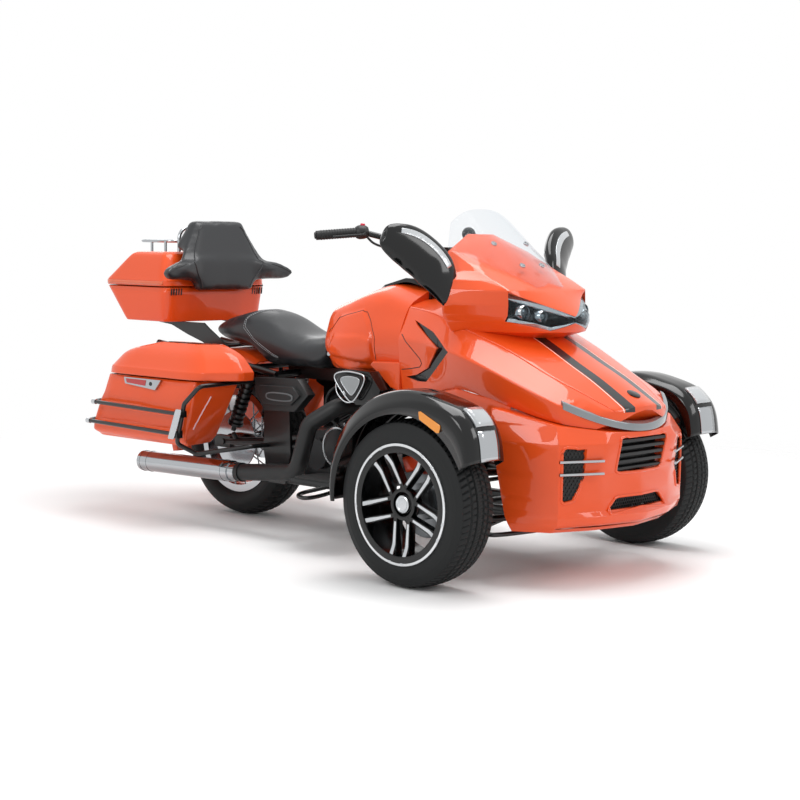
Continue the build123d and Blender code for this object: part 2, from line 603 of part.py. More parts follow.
# Floorboards on the lower rails
with BuildPart() as footboards:
    for side in (-1, 1):
        low, high = sorted((side * 285, side * 455))
        block((30, low, 252), (290, high, 262))
        low, high = sorted((side * 285, side * 455))
        with BuildSketch(Plane.XY.offset(262)) as pad:
            with Locations((160, (low + high) / 2)):
                RectangleRounded(250, 160, 24)
        extrude(pad.sketch, amount=8)
        for x in (90, 230):
            rod((x, side * (RAIL_Y + RAIL_RADIUS), LOWER_RAIL_Z + 6), (x, side * 320, 246), 9)
            rod((x, side * 320, 240), (x, side * 320, 253), 12)
save(footboards, "footboards")

with BuildPart() as side_covers:
    for side in (-1, 1):
        outline = [(-434, 596), (-190, 604), (-130, 545), (-206, 476), (-380, 470), (-434, 540)]
        low, high = side * 172, side * 214
        side_prism(outline, low, high)
        inset = [(-395, 568), (-205, 574), (-165, 540), (-216, 500), (-365, 496), (-398, 536)]
        side_prism(inset, high, side * 228)
save(side_covers, "side_covers")

# Body shell and hood: one loft of five-sided sections, parted along the hood seam
# Columns: X, low half width, low Z, shoulder half width, shoulder Z, hood seam half width, seam Z, crown Z
BODY_SECTIONS = (
    (362, 215, 592, 235, 790, 176, 905, 940),
    (520, 245, 592, 272, 782, 222, 890, 925),
    (711, 305, 628, 340, 762, 262, 842, 886),
    (880, 325, 606, 352, 718, 246, 782, 826),
    (1057, 322, 566, 330, 652, 222, 698, 737),
    (1165, 290, 543, 296, 604, 186, 646, 684),
    (1330, 196, 508, 214, 520, 120, 560, 590),
)
HOOD_DEPTH = 26
HOOD_REAR_X = 690
# The nose in plan: an arc from one end of the light strip to the other
NOSE_TIP_X = 1300
NOSE_SIDE_X = 1165
NOSE_SIDE_Y = 292
BODY_REAR_X = 362


def nose_cut():
    """Trim the open part to the plan of the nose."""
    with BuildSketch(Plane.XY.offset(450)) as plan:
        with BuildLine():
            ThreePointArc((NOSE_SIDE_X, NOSE_SIDE_Y), (NOSE_TIP_X, 0), (NOSE_SIDE_X, -NOSE_SIDE_Y))
            Polyline(
                (NOSE_SIDE_X, -NOSE_SIDE_Y), (NOSE_SIDE_X, -500), (300, -500), (300, 500), (NOSE_SIDE_X, 500),
                (NOSE_SIDE_X, NOSE_SIDE_Y),
            )
        make_face()
    extrude(plan.sketch, amount=700, mode=Mode.INTERSECT)


# Dark arrow-shaped vent in each flank, as (X, Z) points of its outline
CHEVRON = ((500, 862), (692, 762), (542, 650), (462, 660), (622, 770), (560, 812))
CHEVRON_FLOOR_Y = 225
STRIP_HEIGHT = 24
STRIP_DEPTH = 14
STRIP_TILT = 0.573
STRIP_CENTRE_Z = 531


def strip_slab():
    """Sloped slab that the light strip lies in, kept from the open part."""
    low_x, high_x = 1080, 1340
    low = STRIP_CENTRE_Z + STRIP_TILT * (NOSE_TIP_X - low_x)
    high = STRIP_CENTRE_Z + STRIP_TILT * (NOSE_TIP_X - high_x)
    half = STRIP_HEIGHT / 2
    side_prism([
        (low_x, low - half), (low_x, low + half), (high_x, high + half), (high_x, high - half),
    ], -330, 330, mode=Mode.INTERSECT)


with BuildPart() as light_strip:
    with BuildSketch(Plane.XY.offset(450)):
        with BuildLine():
            ThreePointArc((NOSE_SIDE_X + 2, NOSE_SIDE_Y), (NOSE_TIP_X + 4, 0), (NOSE_SIDE_X + 2, -NOSE_SIDE_Y))
            Line((NOSE_SIDE_X + 2, -NOSE_SIDE_Y), (NOSE_SIDE_X - 12, -NOSE_SIDE_Y + 6))
            ThreePointArc(
                (NOSE_SIDE_X - 12, -NOSE_SIDE_Y + 6), (NOSE_TIP_X - STRIP_DEPTH, 0), (NOSE_SIDE_X - 12, NOSE_SIDE_Y - 6),
            )
            Line((NOSE_SIDE_X - 12, NOSE_SIDE_Y - 6), (NOSE_SIDE_X + 2, NOSE_SIDE_Y))
        make_face()
    extrude(amount=250)
    strip_slab()
save(light_strip, "light_strip")

with BuildPart() as body_shell:
    for x, low_y, low_z, wide_y, wide_z, seam_y, seam_z, crown_z in BODY_SECTIONS:
        with BuildSketch(Plane.YZ.offset(x)):
            with BuildLine():
                Polyline(*both([(low_y, low_z), (wide_y, wide_z), (seam_y, seam_z), (0, crown_z)]), close=True)
            make_face()
    loft()
    nose_cut()
    for side in (-1, 1):
        side_prism(CHEVRON, side * CHEVRON_FLOOR_Y, side * 420, mode=Mode.SUBTRACT)
    add(light_strip.part, mode=Mode.SUBTRACT)
    side_prism([
        (920, 400), (920, below_seam(920) + PANEL_SEAM), (1400, below_seam(1400) + PANEL_SEAM), (1400, 400),
    ], -500, 500, mode=Mode.SUBTRACT)

with BuildPart() as hood:
    for x, low_y, low_z, wide_y, wide_z, seam_y, seam_z, crown_z in BODY_SECTIONS[2:]:
        with BuildSketch(Plane.YZ.offset(x)):
            with BuildLine():
                Polyline(*both([(seam_y, seam_z - HOOD_DEPTH), (seam_y, seam_z + 60), (0, crown_z + 60)]), close=True)
            make_face()
    loft()
    plan_prism([
        (720, -300), (1274, -300), (1274, 300), (720, 300),
    ], 500, 1000, mode=Mode.INTERSECT)
    add(body_shell.part, mode=Mode.INTERSECT)
save(hood, "hood")

with BuildPart() as chevron_vents:
    for side in (-1, 1):
        side_prism(CHEVRON, side * CHEVRON_FLOOR_Y, side * (CHEVRON_FLOOR_Y + 30))
save(chevron_vents, "chevron_vents")

with BuildPart() as shell_body:
    add(body_shell.part)
    add(hood.part, mode=Mode.SUBTRACT)
save(shell_body, "body_shell")

# Front bumper: a hollow shell from the fender gaps round the nose, with the grille and vent openings
# Columns: Z, rear X and half width, corner X and half width, face X and half width, nose X
BUMPER_SECTIONS = (
    (186, 1048, 402, 1160, 338, 1222, 190, 1256),
    (214, 1040, 416, 1196, 350, 1262, 194, 1296),
    (240, 1030, 420, 1204, 354, 1272, 198, 1312),
    (256, 1026, 420, 1204, 354, 1258, 198, 1290),
    (300, 1015, 420, 1204, 354, 1256, 200, 1286),
    (380, 995, 420, 1204, 354, 1262, 202, 1281),
    (484, 968, 418, 1202, 353, 1284, 202, 1306),
    (540, 955, 408, 1172, 330, 1272, 160, 1313),
    (606, 942, 392, 1124, 318, 1224, 150, 1296),
)
BUMPER_WALL = 12
BUMPER_FLOOR_Z = 200


def bumper_outline(rear, corner, face_point, nose, inset, back):
    """Plan outline of the bumper at one height, moved in by inset and back at the rear."""
    half = [
        (rear[0] - back, rear[1] - inset), (corner[0] - inset, corner[1] - inset),
        (face_point[0] - inset, face_point[1]), (nose - inset, 0),
    ]
    return half + [(x, -y) for x, y in reversed(half[:-1])]


with BuildPart() as bumper_hollow:
    for z, rear_x, rear_y, corner_x, corner_y, face_x, face_y, nose_x in BUMPER_SECTIONS[1:]:
        with BuildSketch(Plane.XY.offset(BUMPER_FLOOR_Z if z == BUMPER_SECTIONS[1][0] else z)):
            with BuildLine():
                Polyline(*bumper_outline(
                    (rear_x, rear_y), (corner_x, corner_y), (min(face_x, 1266), face_y), min(nose_x, 1290), BUMPER_WALL, 300,
                ), close=True)
            make_face()
    loft(ruled=True)

CENTRE_GRILLE = ((129, 500), (129, 381))
LOWER_GRILLE = ((123, 296), (165, 256))
SIDE_VENT = ((342, 472), (262, 468), (262, 372), (300, 300), (342, 292))
with BuildPart() as front_openings:
    front_prism(both(CENTRE_GRILLE), 1150, 1400)
    front_prism(both(LOWER_GRILLE), 1150, 1400)
    for side in (-1, 1):
        front_prism([(side * y, z) for y, z in SIDE_VENT], 1080, 1400)

with BuildPart() as front_bumper:
    for z, rear_x, rear_y, corner_x, corner_y, face_x, face_y, nose_x in BUMPER_SECTIONS:
        with BuildSketch(Plane.XY.offset(z)):
            with BuildLine():
                Polyline(*bumper_outline(
                    (rear_x, rear_y), (corner_x, corner_y), (face_x, face_y), nose_x, 0, 0,
                ), close=True)
            make_face()
    loft(ruled=True)
    add(bumper_hollow.part, mode=Mode.SUBTRACT)
    side_prism([
        (700, 420), (700, below_seam(700)), (1400, below_seam(1400)), (1400, 100), (700, 100),
    ], -500, 500, mode=Mode.INTERSECT)
    add(front_openings.part, mode=Mode.SUBTRACT)
save(front_bumper, "front_bumper")

# Grilles: louvres in the centre opening and mesh panels in the lower one and the side vents
LOUVRES = 5
with BuildPart() as grilles:
    front_prism(both([(129, 500), (129, 381)]), 1240, 1248)
    pitch = (500 - 381) / LOUVRES
    for louvre in range(LOUVRES):
        z = 381 + pitch * (louvre + 0.5)
        x = 1281 + (z - 381) * 0.21
        side_prism([(1244, z - 2), (1244, z + 6), (x - 12, z + 4), (x - 12, z - 6)], -129, 129)
    front_prism(both(LOWER_GRILLE), 1244, 1252)
    for side in (-1, 1):
        plan_prism([
            (1188, side * 344), (1196, side * 344), (1236, side * 260), (1228, side * 260),
        ], 290, 474)
    add(front_openings.part, mode=Mode.INTERSECT)
save(grilles, "grilles")

with BuildPart() as vent_bars:
    for side in (-1, 1):
        for z in (428, 386):
            rod((1208, side * 355.5, z), (1280, side * 208.5, z), 5)
save(vent_bars, "vent_bars")

# Upper fairing: stacked plan sections, each with straight flanks and an arc for the nose
# Columns: Z, rear X and half width, corner X and half width, nose X
FAIRING_SECTIONS = (
    (780, 690, 150, 800, 110, 850),
    (812, 672, 230, 820, 150, 905),
    (834, 660, 285, 830, 205, 980),
    (868, 650, 300, 850, 218, 990),
    (892, 646, 314, 862, 219, 985),
    (927, 655, 330, 864, 219, 946),
    (978, 662, 314, 862, 219, 888),
    (1011, 672, 296, 796, 222, 836),
    (1040, 640, 262, 733, 221, 792),
    (1109, 583, 220, 600, 212, 676),
    (1172, 545, 70, 550, 66, 566),
)
with BuildPart() as fairing_block:
    for z, rear_x, rear_y, corner_x, corner_y, nose_x in FAIRING_SECTIONS:
        with BuildSketch(Plane.XY.offset(z)):
            with BuildLine():
                Polyline((corner_x, -corner_y), (rear_x, -rear_y), (rear_x, rear_y), (corner_x, corner_y))
                ThreePointArc((corner_x, corner_y), (nose_x, 0), (corner_x, -corner_y))
            make_face()
    loft(ruled=True)
    add(body_shell.part, mode=Mode.SUBTRACT)

LAMP_OUTLINE = ((219, 974), (219, 872), (100, 841), (0, 866), (0, 889))
LAMP_BACK_X = 835
with BuildPart() as headlights:
    front_prism(LAMP_OUTLINE[:4] + ((0, 889),), LAMP_BACK_X, 1010)
    front_prism([(-y, z) for y, z in LAMP_OUTLINE], LAMP_BACK_X, 1010)
    add(fairing_block.part, mode=Mode.INTERSECT)
save(headlights, "headlights")

with BuildPart() as upper_fairing:
    add(fairing_block.part)
    add(headlights.part, mode=Mode.SUBTRACT)
save(upper_fairing, "upper_fairing")

# Windscreen: a thin sheet curved about the line of its own slope
SCREEN_TOP_X, SCREEN_TOP_Z = 548, 1267
SCREEN_FOOT_X, SCREEN_FOOT_Z = 880, 995
SCREEN_CURVE_RADIUS = 389
SCREEN_THICKNESS = 4
with BuildPart() as windscreen:
    slope = Vector(SCREEN_FOOT_X - SCREEN_TOP_X, 0, SCREEN_FOOT_Z - SCREEN_TOP_Z)
    with BuildSketch(Plane(origin=(SCREEN_TOP_X, 0, SCREEN_TOP_Z), x_dir=(0, 1, 0), z_dir=slope)):
        with Locations((0, -SCREEN_CURVE_RADIUS)):
            Circle(SCREEN_CURVE_RADIUS)
            Circle(SCREEN_CURVE_RADIUS - SCREEN_THICKNESS, mode=Mode.SUBTRACT)
    extrude(amount=slope.length)
    plan_prism([
        (554, 0), (548, 100), (552, 172), (600, 240), (690, 190), (872, 76), (882, 64), (866, 0),
        (882, -64), (872, -76), (690, -190), (600, -240), (552, -172), (548, -100),
    ], 950, 1300, mode=Mode.INTERSECT)
save(windscreen, "windscreen")

# Mirrors: a smooth pod on each side, carried by a stem on the fairing
with BuildPart() as mirrors:
    for side in (-1, 1):
        inner = Vector(655, side * 290, 1062)
        outer = Vector(552, side * 512, 1150)
        reach = outer - inner
        for place, tall, deep in ((0.0, 34, 20), (0.3, 72, 34), (0.7, 84, 40), (1.0, 40, 22)):
            with BuildSketch(Plane(origin=inner + reach * place, x_dir=(0.4, 0, 0.9), z_dir=reach)):
                Ellipse(tall, deep)
        loft()
        rod(inner + reach * 0.05, (690, side * 268, 1005), 14)
    add(fairing_block.part, mode=Mode.SUBTRACT)
save(mirrors, "mirrors")

# Dash panel behind the fairing and the console on top of the tank
with BuildPart() as dash_panel:
    side_prism([
        (654, 932), (661.5, 978), (671.5, 1011), (639.5, 1040), (582.5, 1109), (556, 1112), (600, 1030), (606, 932),
    ], -186, 186)
save(dash_panel, "dash_panel")

# Fuel tank: a loft of rounded sections from the seat to the body shell
# Columns: X, foot half width, low Z, belly half width, belly Z, shoulder half width, shoulder Z, crown Z
TANK_SECTIONS = (
    (-112, 70, 690, 118, 735, 90, 800, 820),
    (-70, 130, TANK_FOOT_Z, 190, 745, 150, 870, 893),
    (40, 190, TANK_FOOT_Z, 226, 760, 172, 910, 938),
    (190, 200, 660, 236, 780, 178, 945, 984),
    (BODY_REAR_X, 205, 668, 236, 792, 178, 912, 966),
)
with BuildPart() as fuel_tank:
    for x, foot_y, low_z, belly_y, belly_z, shoulder_y, shoulder_z, crown_z in TANK_SECTIONS:
        with BuildSketch(Plane.YZ.offset(x)):
            with BuildLine():
                Polyline(*both([
                    (foot_y, low_z), (belly_y, belly_z), (shoulder_y, shoulder_z), (60, crown_z),
                ]), close=True)
            make_face()
    loft()
    block((-300, -300, 500), (500, 300, TANK_FOOT_Z), mode=Mode.SUBTRACT)
save(fuel_tank, "fuel_tank")

with BuildPart() as tank_console:
    plan_prism([
        (80, -30), (130, -66), (300, -84), (372, -70), (372, 70), (300, 84), (130, 66), (80, 30),
    ], 900, 1006)
    side_prism([(60, 930), (80, 965), (250, 1006), (372, 1000), (372, 900), (60, 900)], -90, 90, mode=Mode.INTERSECT)
    add(fuel_tank.part, mode=Mode.SUBTRACT)
    add(body_shell.part, mode=Mode.SUBTRACT)
save(tank_console, "tank_console")

# Seat: one long piece, dipped for the rider and raised for the passenger
SEAT_HALF_WIDTH = 158
with BuildPart() as seat_pad:
    with BuildSketch(Plane(origin=(0, SEAT_HALF_WIDTH, 0), x_dir=(1, 0, 0), z_dir=(0, -1, 0))):
        with BuildLine():
            Polyline((-119, 690), (-119, 780), (-175, 772))
            ThreePointArc((-175, 772), (-240, 768), (-297, 786))
            ThreePointArc((-297, 786), (-370, 826), (-464, 850))
            ThreePointArc((-464, 850), (-600, 842), (-736, 816))
            ThreePointArc((-736, 816), (-800, 792), (-815, 762))
            Polyline((-815, 762), (-748, 738), (-620, 722), (-547, 690), (-470, BACKBONE_TOP_Z), (-180, BACKBONE_TOP_Z), (-119, 690))
        make_face()
    extrude(amount=2 * SEAT_HALF_WIDTH)
save(seat_pad, "seat")

# Saddlebags: hollow lower boxes with hollow lids hinged along the inner edge
# Columns: Z, rear X, outer front X, inner front X, outer half width, inner half width
BAG_SECTIONS = ((322, -1150, -592, -640, 430, 262), (352, -1178, -576, -612, 450, 250), (583, -1062, -520, -475, 456, 250))
# Columns: Z, rear X, outer front X, tip X, outer half width, tip half width, inner half width
LID_SECTIONS = (
    (589, -1074, -505, -385, 464, 330, 250),
    (620, -1066, -500, -380, 464, 330, 250),
    (688, -1000, -540, -430, 426, 325, 272),
    (724, -820, -590, -520, 385, 330, 292),
)
BAG_WALL = 5
BAG_SEAM_Z = 586
for name, side in SIDES:
    with BuildPart() as bag:
        for mode, inset in ((Mode.ADD, 0), (Mode.SUBTRACT, BAG_WALL)):
            outlines = []
            for z, rear_x, front_x, inner_x, outer_y, inner_y in BAG_SECTIONS:
                level = z + inset if z < 500 else z + (1 if inset else 0)
                with BuildSketch(Plane.XY.offset(level)) as outline:
                    with BuildLine():
                        Polyline(
                            (rear_x + inset, side * (outer_y - inset)), (front_x - inset, side * (outer_y - inset)),
                            (inner_x - inset, side * (inner_y + inset)), (rear_x + inset, side * (inner_y + inset)),
                            close=True,
                        )
                    make_face()
                outlines.append(outline.sketch)
            loft(outlines, ruled=True, mode=mode)
        for x in (-700, -980):
            rod((x, side * (SEAT_RAIL_Y + 9.3), 560), (x, side * 252, 560), 10)
    save(bag, f"bag_{name}")

    with BuildPart() as bag_lid:
        for mode, inset in ((Mode.ADD, 0), (Mode.SUBTRACT, BAG_WALL)):
            outlines = []
            for z, rear_x, front_x, tip_x, outer_y, tip_y, inner_y in LID_SECTIONS:
                level = z - (inset if z > 600 else inset / 5)
                with BuildSketch(Plane.XY.offset(level)) as outline:
                    with BuildLine():
                        Polyline(
                            (rear_x + inset, side * (outer_y - inset)), (front_x - inset, side * (outer_y - inset)),
                            (tip_x - inset, side * tip_y), (tip_x - inset, side * (inner_y + inset)),
                            (rear_x + inset, side * (inner_y + inset)), close=True,
                        )
                    make_face()
                outlines.append(outline.sketch)
            loft(outlines, ruled=True, mode=mode)
    save(bag_lid, f"bag_lid_{name}")

# Latch plates on the outer face of each bag, below the lid
with BuildPart() as bag_latches:
    for side in (-1, 1):
        side_prism([(-936, 552), (-943, 578), (-709, 578), (-745, 537)], side * 456.2, side * 468)
save(bag_latches, "bag_latches")

# Bag guards: a hoop round the front of each bag and two rails along its side, joined by clamp blocks
GUARD_Y = 496
with BuildPart() as bag_guards:
    for side in (-1, 1):
        tube([
            (-449, side * 172.3, 580), (-449, side * 330, 578), (-470, side * 470, 570), (-530, side * GUARD_Y, 500),
            (-575, side * GUARD_Y, 340), (-545, side * 420, 296), (-400, side * 260, 326), (-400, side * 172.3, 326),
        ], 26, 9)
        for rear_x, end_x, front_x, high_z, low_z in ((-1108, -1142, -556, 467, 457), (-1150, -1182, -582, 386, 376)):
            tube([
                (front_x, side * GUARD_Y, low_z), (rear_x, side * GUARD_Y, high_z),
                (end_x, side * 440, high_z), (end_x, side * 380, high_z),
            ], 18, 8)
        low, high = sorted((side * (GUARD_Y - 14), side * (GUARD_Y + 14)))
        block((-572, low, 446), (-532, high, 472))
        block((-600, low, 362), (-556, high, 392))
save(bag_guards, "bag_guards")

# Top case: hollow base and hollow lid hinged along the left seam
# Columns: Z, front X, rear X, half width
CASE_SECTIONS = ((795, -923, -1212, 258), (808, -921, -1222, 262), (937, -904, -1322, 277))
CASE_LID_SECTIONS = ((943, -904, -1325, 279), (966, -906, -1325, 279), (1070, -945, -1200, 246), (1084, -965, -1180, 226))
CASE_WALL = 5
CASE_HINGE_Y = 284
CASE_HINGE_Z = 940
HINGE_RADIUS = 5
HINGE_LENGTH = 30
HINGE_PLACES = (-1200, -1000)
with BuildPart() as top_case:
    for mode, inset in ((Mode.ADD, 0), (Mode.SUBTRACT, CASE_WALL)):
        outlines = []
        for z, front_x, rear_x, half_width in CASE_SECTIONS:
            level = z + inset if z < 900 else z + (1 if inset else 0)
            with BuildSketch(Plane.XY.offset(level)) as outline:
                with Locations(((front_x + rear_x) / 2, 0)):
                    Rectangle(front_x - rear_x - 2 * inset, 2 * (half_width - inset))
            outlines.append(outline.sketch)
        loft(outlines, ruled=True, mode=mode)
    for x in HINGE_PLACES:
        rod((x, CASE_HINGE_Y, CASE_HINGE_Z), (x + HINGE_LENGTH, CASE_HINGE_Y, CASE_HINGE_Z), HINGE_RADIUS)
        block((x, 273, 928), (x + HINGE_LENGTH, CASE_HINGE_Y + HINGE_RADIUS - 1, CASE_HINGE_Z))
save(top_case, "top_case")

with BuildPart() as top_case_lid:
    for mode, inset in ((Mode.ADD, 0), (Mode.SUBTRACT, CASE_WALL)):
        outlines = []
        for z, front_x, rear_x, half_width in CASE_LID_SECTIONS:
            level = z - (inset if z > 950 else 1 if inset else 0)
            with BuildSketch(Plane.XY.offset(level)) as outline:
                with Locations(((front_x + rear_x) / 2, 0)):
                    Rectangle(front_x - rear_x - 2 * inset, 2 * (half_width - inset))
            outlines.append(outline.sketch)
        loft(outlines, ruled=True, mode=mode)
    for x in HINGE_PLACES:
        start = x + HINGE_LENGTH + PIN_CLEARANCE
        rod((start, CASE_HINGE_Y, CASE_HINGE_Z), (start + HINGE_LENGTH, CASE_HINGE_Y, CASE_HINGE_Z), HINGE_RADIUS)
        block((start, 275, CASE_HINGE_Z + 1), (start + HINGE_LENGTH, CASE_HINGE_Y + HINGE_RADIUS - 1, 952))
save(top_case_lid, "top_case_lid")

with BuildPart() as luggage_rack:
    tube([
        (-1040, 10, 1128), (-1040, 140, 1128), (-1270, 140, 1128), (-1270, -140, 1128), (-1040, -140, 1128),
        (-1040, -10, 1128),
    ], 60, 7)
    rod((-1040, -10, 1128), (-1040, 10, 1128), 7)
    for x in (-1080, -1170):
        for side in (-1, 1):
            rod((x, side * 140, 1128), (x, side * 140, 1084), 6)
    tube([(-1015, -120, 1084), (-1015, -120, 1186), (-1015, 120, 1186), (-1015, 120, 1084)], 50, 8)
save(luggage_rack, "luggage_rack")

# Backrest: centre pad with side wings, carried on the front of the top case lid
with BuildPart() as backrest:
    front_prism(both([
        (150, 915), (166, 955), (330, 968), (352, 990), (340, 1015), (235, 1065), (178, 1150), (130, 1222), (0, 1226),
    ]), -960, -780)
    plan_prism([
        (-856, 0), (-852, 140), (-796, 350), (-840, 356), (-884, 230), (-897, 200), (-960, 190),
        (-960, -190), (-897, -200), (-884, -230), (-840, -356), (-796, -350), (-852, -140),
    ], 900, 1240, mode=Mode.INTERSECT)
    side_prism([
        (-780, 900), (-897.5, 900), (-897.5, 1090), (-955, 1104), (-957, 1240), (-908, 1240), (-862, 1060), (-780, 1030),
    ], -400, 400, mode=Mode.INTERSECT)
    for side in (-1, 1):
        rod((-890, side * 80, 956), (-903.9, side * 80, 956), 10)
save(backrest, "backrest")

# Handlebar: raked column, clamp and swept bar, with grips and controls
with BuildPart() as handlebar:
    rod((column_x(HEAD_LOW_Z + 4), 0, HEAD_LOW_Z + 4), (column_x(1108), 0, 1108), COLUMN_RADIUS)
    block((column_x(1108) - 24, -60, 1096), (column_x(1108) + 24, 60, 1122))
    tube([
        (142, -430, 1160), (232, -296, 1174), (388, -90, 1112), (388, 90, 1112), (232, 296, 1174), (142, 430, 1160),
    ], 46, 11)
save(handlebar, "handlebar")

with BuildPart() as steering_head:
    axis_low = Vector(column_x(HEAD_LOW_Z - 30), 0, HEAD_LOW_Z - 30)
    axis_high = Vector(column_x(HEAD_HIGH_Z), 0, HEAD_HIGH_Z)
    rod(axis_low, axis_high, 28)
    rod(
        Vector(column_x(HEAD_LOW_Z), 0, HEAD_LOW_Z), Vector(column_x(HEAD_HIGH_Z + 10), 0, HEAD_HIGH_Z + 10),
        COLUMN_RADIUS + PIN_CLEARANCE, mode=Mode.SUBTRACT,
    )
    add(body_shell.part, mode=Mode.SUBTRACT)
save(steering_head, "steering_head")

with BuildPart() as grips:
    for side in (-1, 1):
        inner = Vector(222, side * 311, 1172.4)
        outer = Vector(142, side * 430, 1160)
        reach = outer - inner
        rod(inner, inner + reach * 1.06, 17)
        rod(inner + reach * 1.0, inner + reach * 1.10, 12)
        rod(inner - reach * 0.08, inner - reach * 0.01, 24)
        lever_start = inner - reach * 0.05 + Vector(34, 0, -8)
        rod(lever_start, lever_start + reach * 0.85, 5)
        rod(inner - reach * 0.05, lever_start, 8)
    add(handlebar.part, mode=Mode.SUBTRACT)
save(grips, "grips")
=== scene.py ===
"""Looks of a three-wheeled touring motorcycle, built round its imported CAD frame. Sizes are in millimetres."""

import logging
from dataclasses import dataclass, field
from enum import Enum
from math import cos, radians, sin

import bmesh
import bpy
import numpy as np
from bpy.types import Material, Node, NodeSocket, NodeTree, Object
from mathutils import Matrix, Vector
from mathutils.bvhtree import BVHTree


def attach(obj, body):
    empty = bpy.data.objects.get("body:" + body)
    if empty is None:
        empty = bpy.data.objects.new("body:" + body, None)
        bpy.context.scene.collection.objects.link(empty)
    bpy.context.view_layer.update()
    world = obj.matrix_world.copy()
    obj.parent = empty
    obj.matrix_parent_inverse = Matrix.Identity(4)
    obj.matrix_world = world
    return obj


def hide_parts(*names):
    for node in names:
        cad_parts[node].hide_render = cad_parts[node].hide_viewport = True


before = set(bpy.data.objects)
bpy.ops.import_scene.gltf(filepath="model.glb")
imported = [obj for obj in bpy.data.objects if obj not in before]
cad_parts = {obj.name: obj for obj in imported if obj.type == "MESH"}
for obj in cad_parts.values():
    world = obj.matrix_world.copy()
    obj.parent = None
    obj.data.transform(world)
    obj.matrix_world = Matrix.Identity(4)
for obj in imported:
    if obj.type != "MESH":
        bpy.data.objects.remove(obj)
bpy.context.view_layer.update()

# A length pair such as (X, Z), a point, a list of each, a table whose columns a comment names, and a table of sums
Pair = tuple[float, float]
Point = tuple[float, float, float]
Outline = tuple[Pair, ...]
Route = tuple[Point, ...]
Table = tuple[tuple[float, ...], ...]
Sums = tuple[tuple[str | float, ...], ...]

LOG = logging.getLogger("trike")
MM = 0.001
SIDES: tuple[tuple[str, int], ...] = (("right", -1), ("left", 1))
FRONT_AXLE = (825.0, 630.0, 281.0)
REAR_AXLE = (-703.0, 0.0, 311.0)


class Grain(Enum):
    """How a surface was made, which decides its fine relief."""

    LACQUER = "lacquer"
    MOULDED = "moulded"
    CAST = "cast"
    BRUSHED = "brushed"
    LEATHER = "leather"
    RUBBER = "rubber"


@dataclass(frozen=True)
class Finish:
    """One finish: its colour, gloss and relief. grain_mm is the size of one grain."""

    name: str
    colour: str
    metallic: float = 0.0
    roughness: float = 0.4
    coat: float = 0.0
    grain: Grain = Grain.MOULDED
    grain_mm: float = 2.0
    bump: float = 0.08
    shade: float = 0.08
    specular: float = 0.5


# Two-pack polyurethane lacquer over solid orange, sprayed and polished: deep colour under a clear wet gloss
ORANGE_LACQUER = Finish("orange_lacquer", "#EA5116", roughness=0.42, coat=0.7, grain=Grain.LACQUER, grain_mm=6,
                        bump=0.01,
                        shade=0.04, specular=0.2)
# Gloss black ABS, moulded and polished: mirror-like edges on a near-black body
GLOSS_ABS = Finish("gloss_black_abs", "#060708", roughness=0.11, grain_mm=5, bump=0.006, shade=0.04,
                   specular=0.42)
# Black ABS from a grained mould: dull and faintly pebbled
GRAINED_ABS = Finish("grained_black_abs", "#101112", roughness=0.5, grain=Grain.MOULDED, grain_mm=1.6, bump=0.2,
                     shade=0.1)
# Steel tube under baked powder coat: satin black with a slight orange peel
POWDER_COAT = Finish("powder_coated_steel", "#0C0D0E", roughness=0.3, coat=0.15, grain=Grain.LACQUER,
                     grain_mm=3, bump=0.05)
# Heat-resistant silicate paint on the pipe shields: flat charcoal
HEAT_PAINT = Finish("heat_resistant_paint", "#151617", metallic=0.2, roughness=0.44, grain=Grain.CAST,
                    grain_mm=2, bump=0.06)
# Electroplated chrome on steel, polished
CHROME_PLATE = Finish("chrome_plate", "#B4B7BA", metallic=1.0, roughness=0.12, grain=Grain.BRUSHED, grain_mm=4,
                      bump=0.006,
                      shade=0.06)
# Machined aluminium, clear lacquered: bright with fine turning lines
MACHINED_ALUMINIUM = Finish("machined_aluminium", "#C6C9CC", metallic=1.0, roughness=0.26, grain=Grain.BRUSHED,
                            grain_mm=2,
                            bump=0.03, shade=0.08)
# Sand-cast aluminium cases under dark engine enamel
CAST_ALUMINIUM = Finish("cast_aluminium_enamel", "#1F2022", metallic=0.35, roughness=0.4, grain=Grain.CAST,
                        grain_mm=2.5, bump=0.18, shade=0.12)
# Grey cast iron disc face, ground by the pads
GROUND_IRON = Finish("ground_iron", "#8E9194", metallic=1.0, roughness=0.32, grain=Grain.BRUSHED, grain_mm=2,
                     bump=0.03)
# Carbon-black tread rubber, moulded: matte charcoal
TREAD_RUBBER = Finish("tread_rubber", "#111314", roughness=0.6, grain=Grain.RUBBER, grain_mm=1.5, bump=0.08,
                      shade=0.14,
                      specular=0.3)
# Moulded hand and foot rubber
GRIP_RUBBER = Finish("grip_rubber", "#131415", roughness=0.62, grain=Grain.RUBBER, grain_mm=1.2, bump=0.15)
# Grained vinyl over foam
SEAT_VINYL = Finish("seat_vinyl", "#202225", roughness=0.4, coat=0.12, grain=Grain.LEATHER, grain_mm=2.0,
                    bump=0.14, shade=0.1)
# Red acrylic lamp lens
RED_ACRYLIC = Finish("red_acrylic", "#B3151B", roughness=0.12, coat=0.5, bump=0.01)
# Amber acrylic marker lens
AMBER_ACRYLIC = Finish("amber_acrylic", "#E8902A", roughness=0.16, coat=0.5, bump=0.02)
# Clear polycarbonate over a bright reflector, as seen from outside: pale grey with a wet gloss
LAMP_LENS = Finish("lamp_polycarbonate", "#C9CDD0", metallic=0.35, roughness=0.14, coat=1.0, grain=Grain.CAST,
                   grain_mm=14, bump=0.3, shade=0.3)
# Tinted polycarbonate over a grey light guide
STRIP_LENS = Finish("light_strip_polycarbonate", "#8C9296", metallic=0.5, roughness=0.12, coat=1.0, grain_mm=6,
                    bump=0.05, shade=0.35)
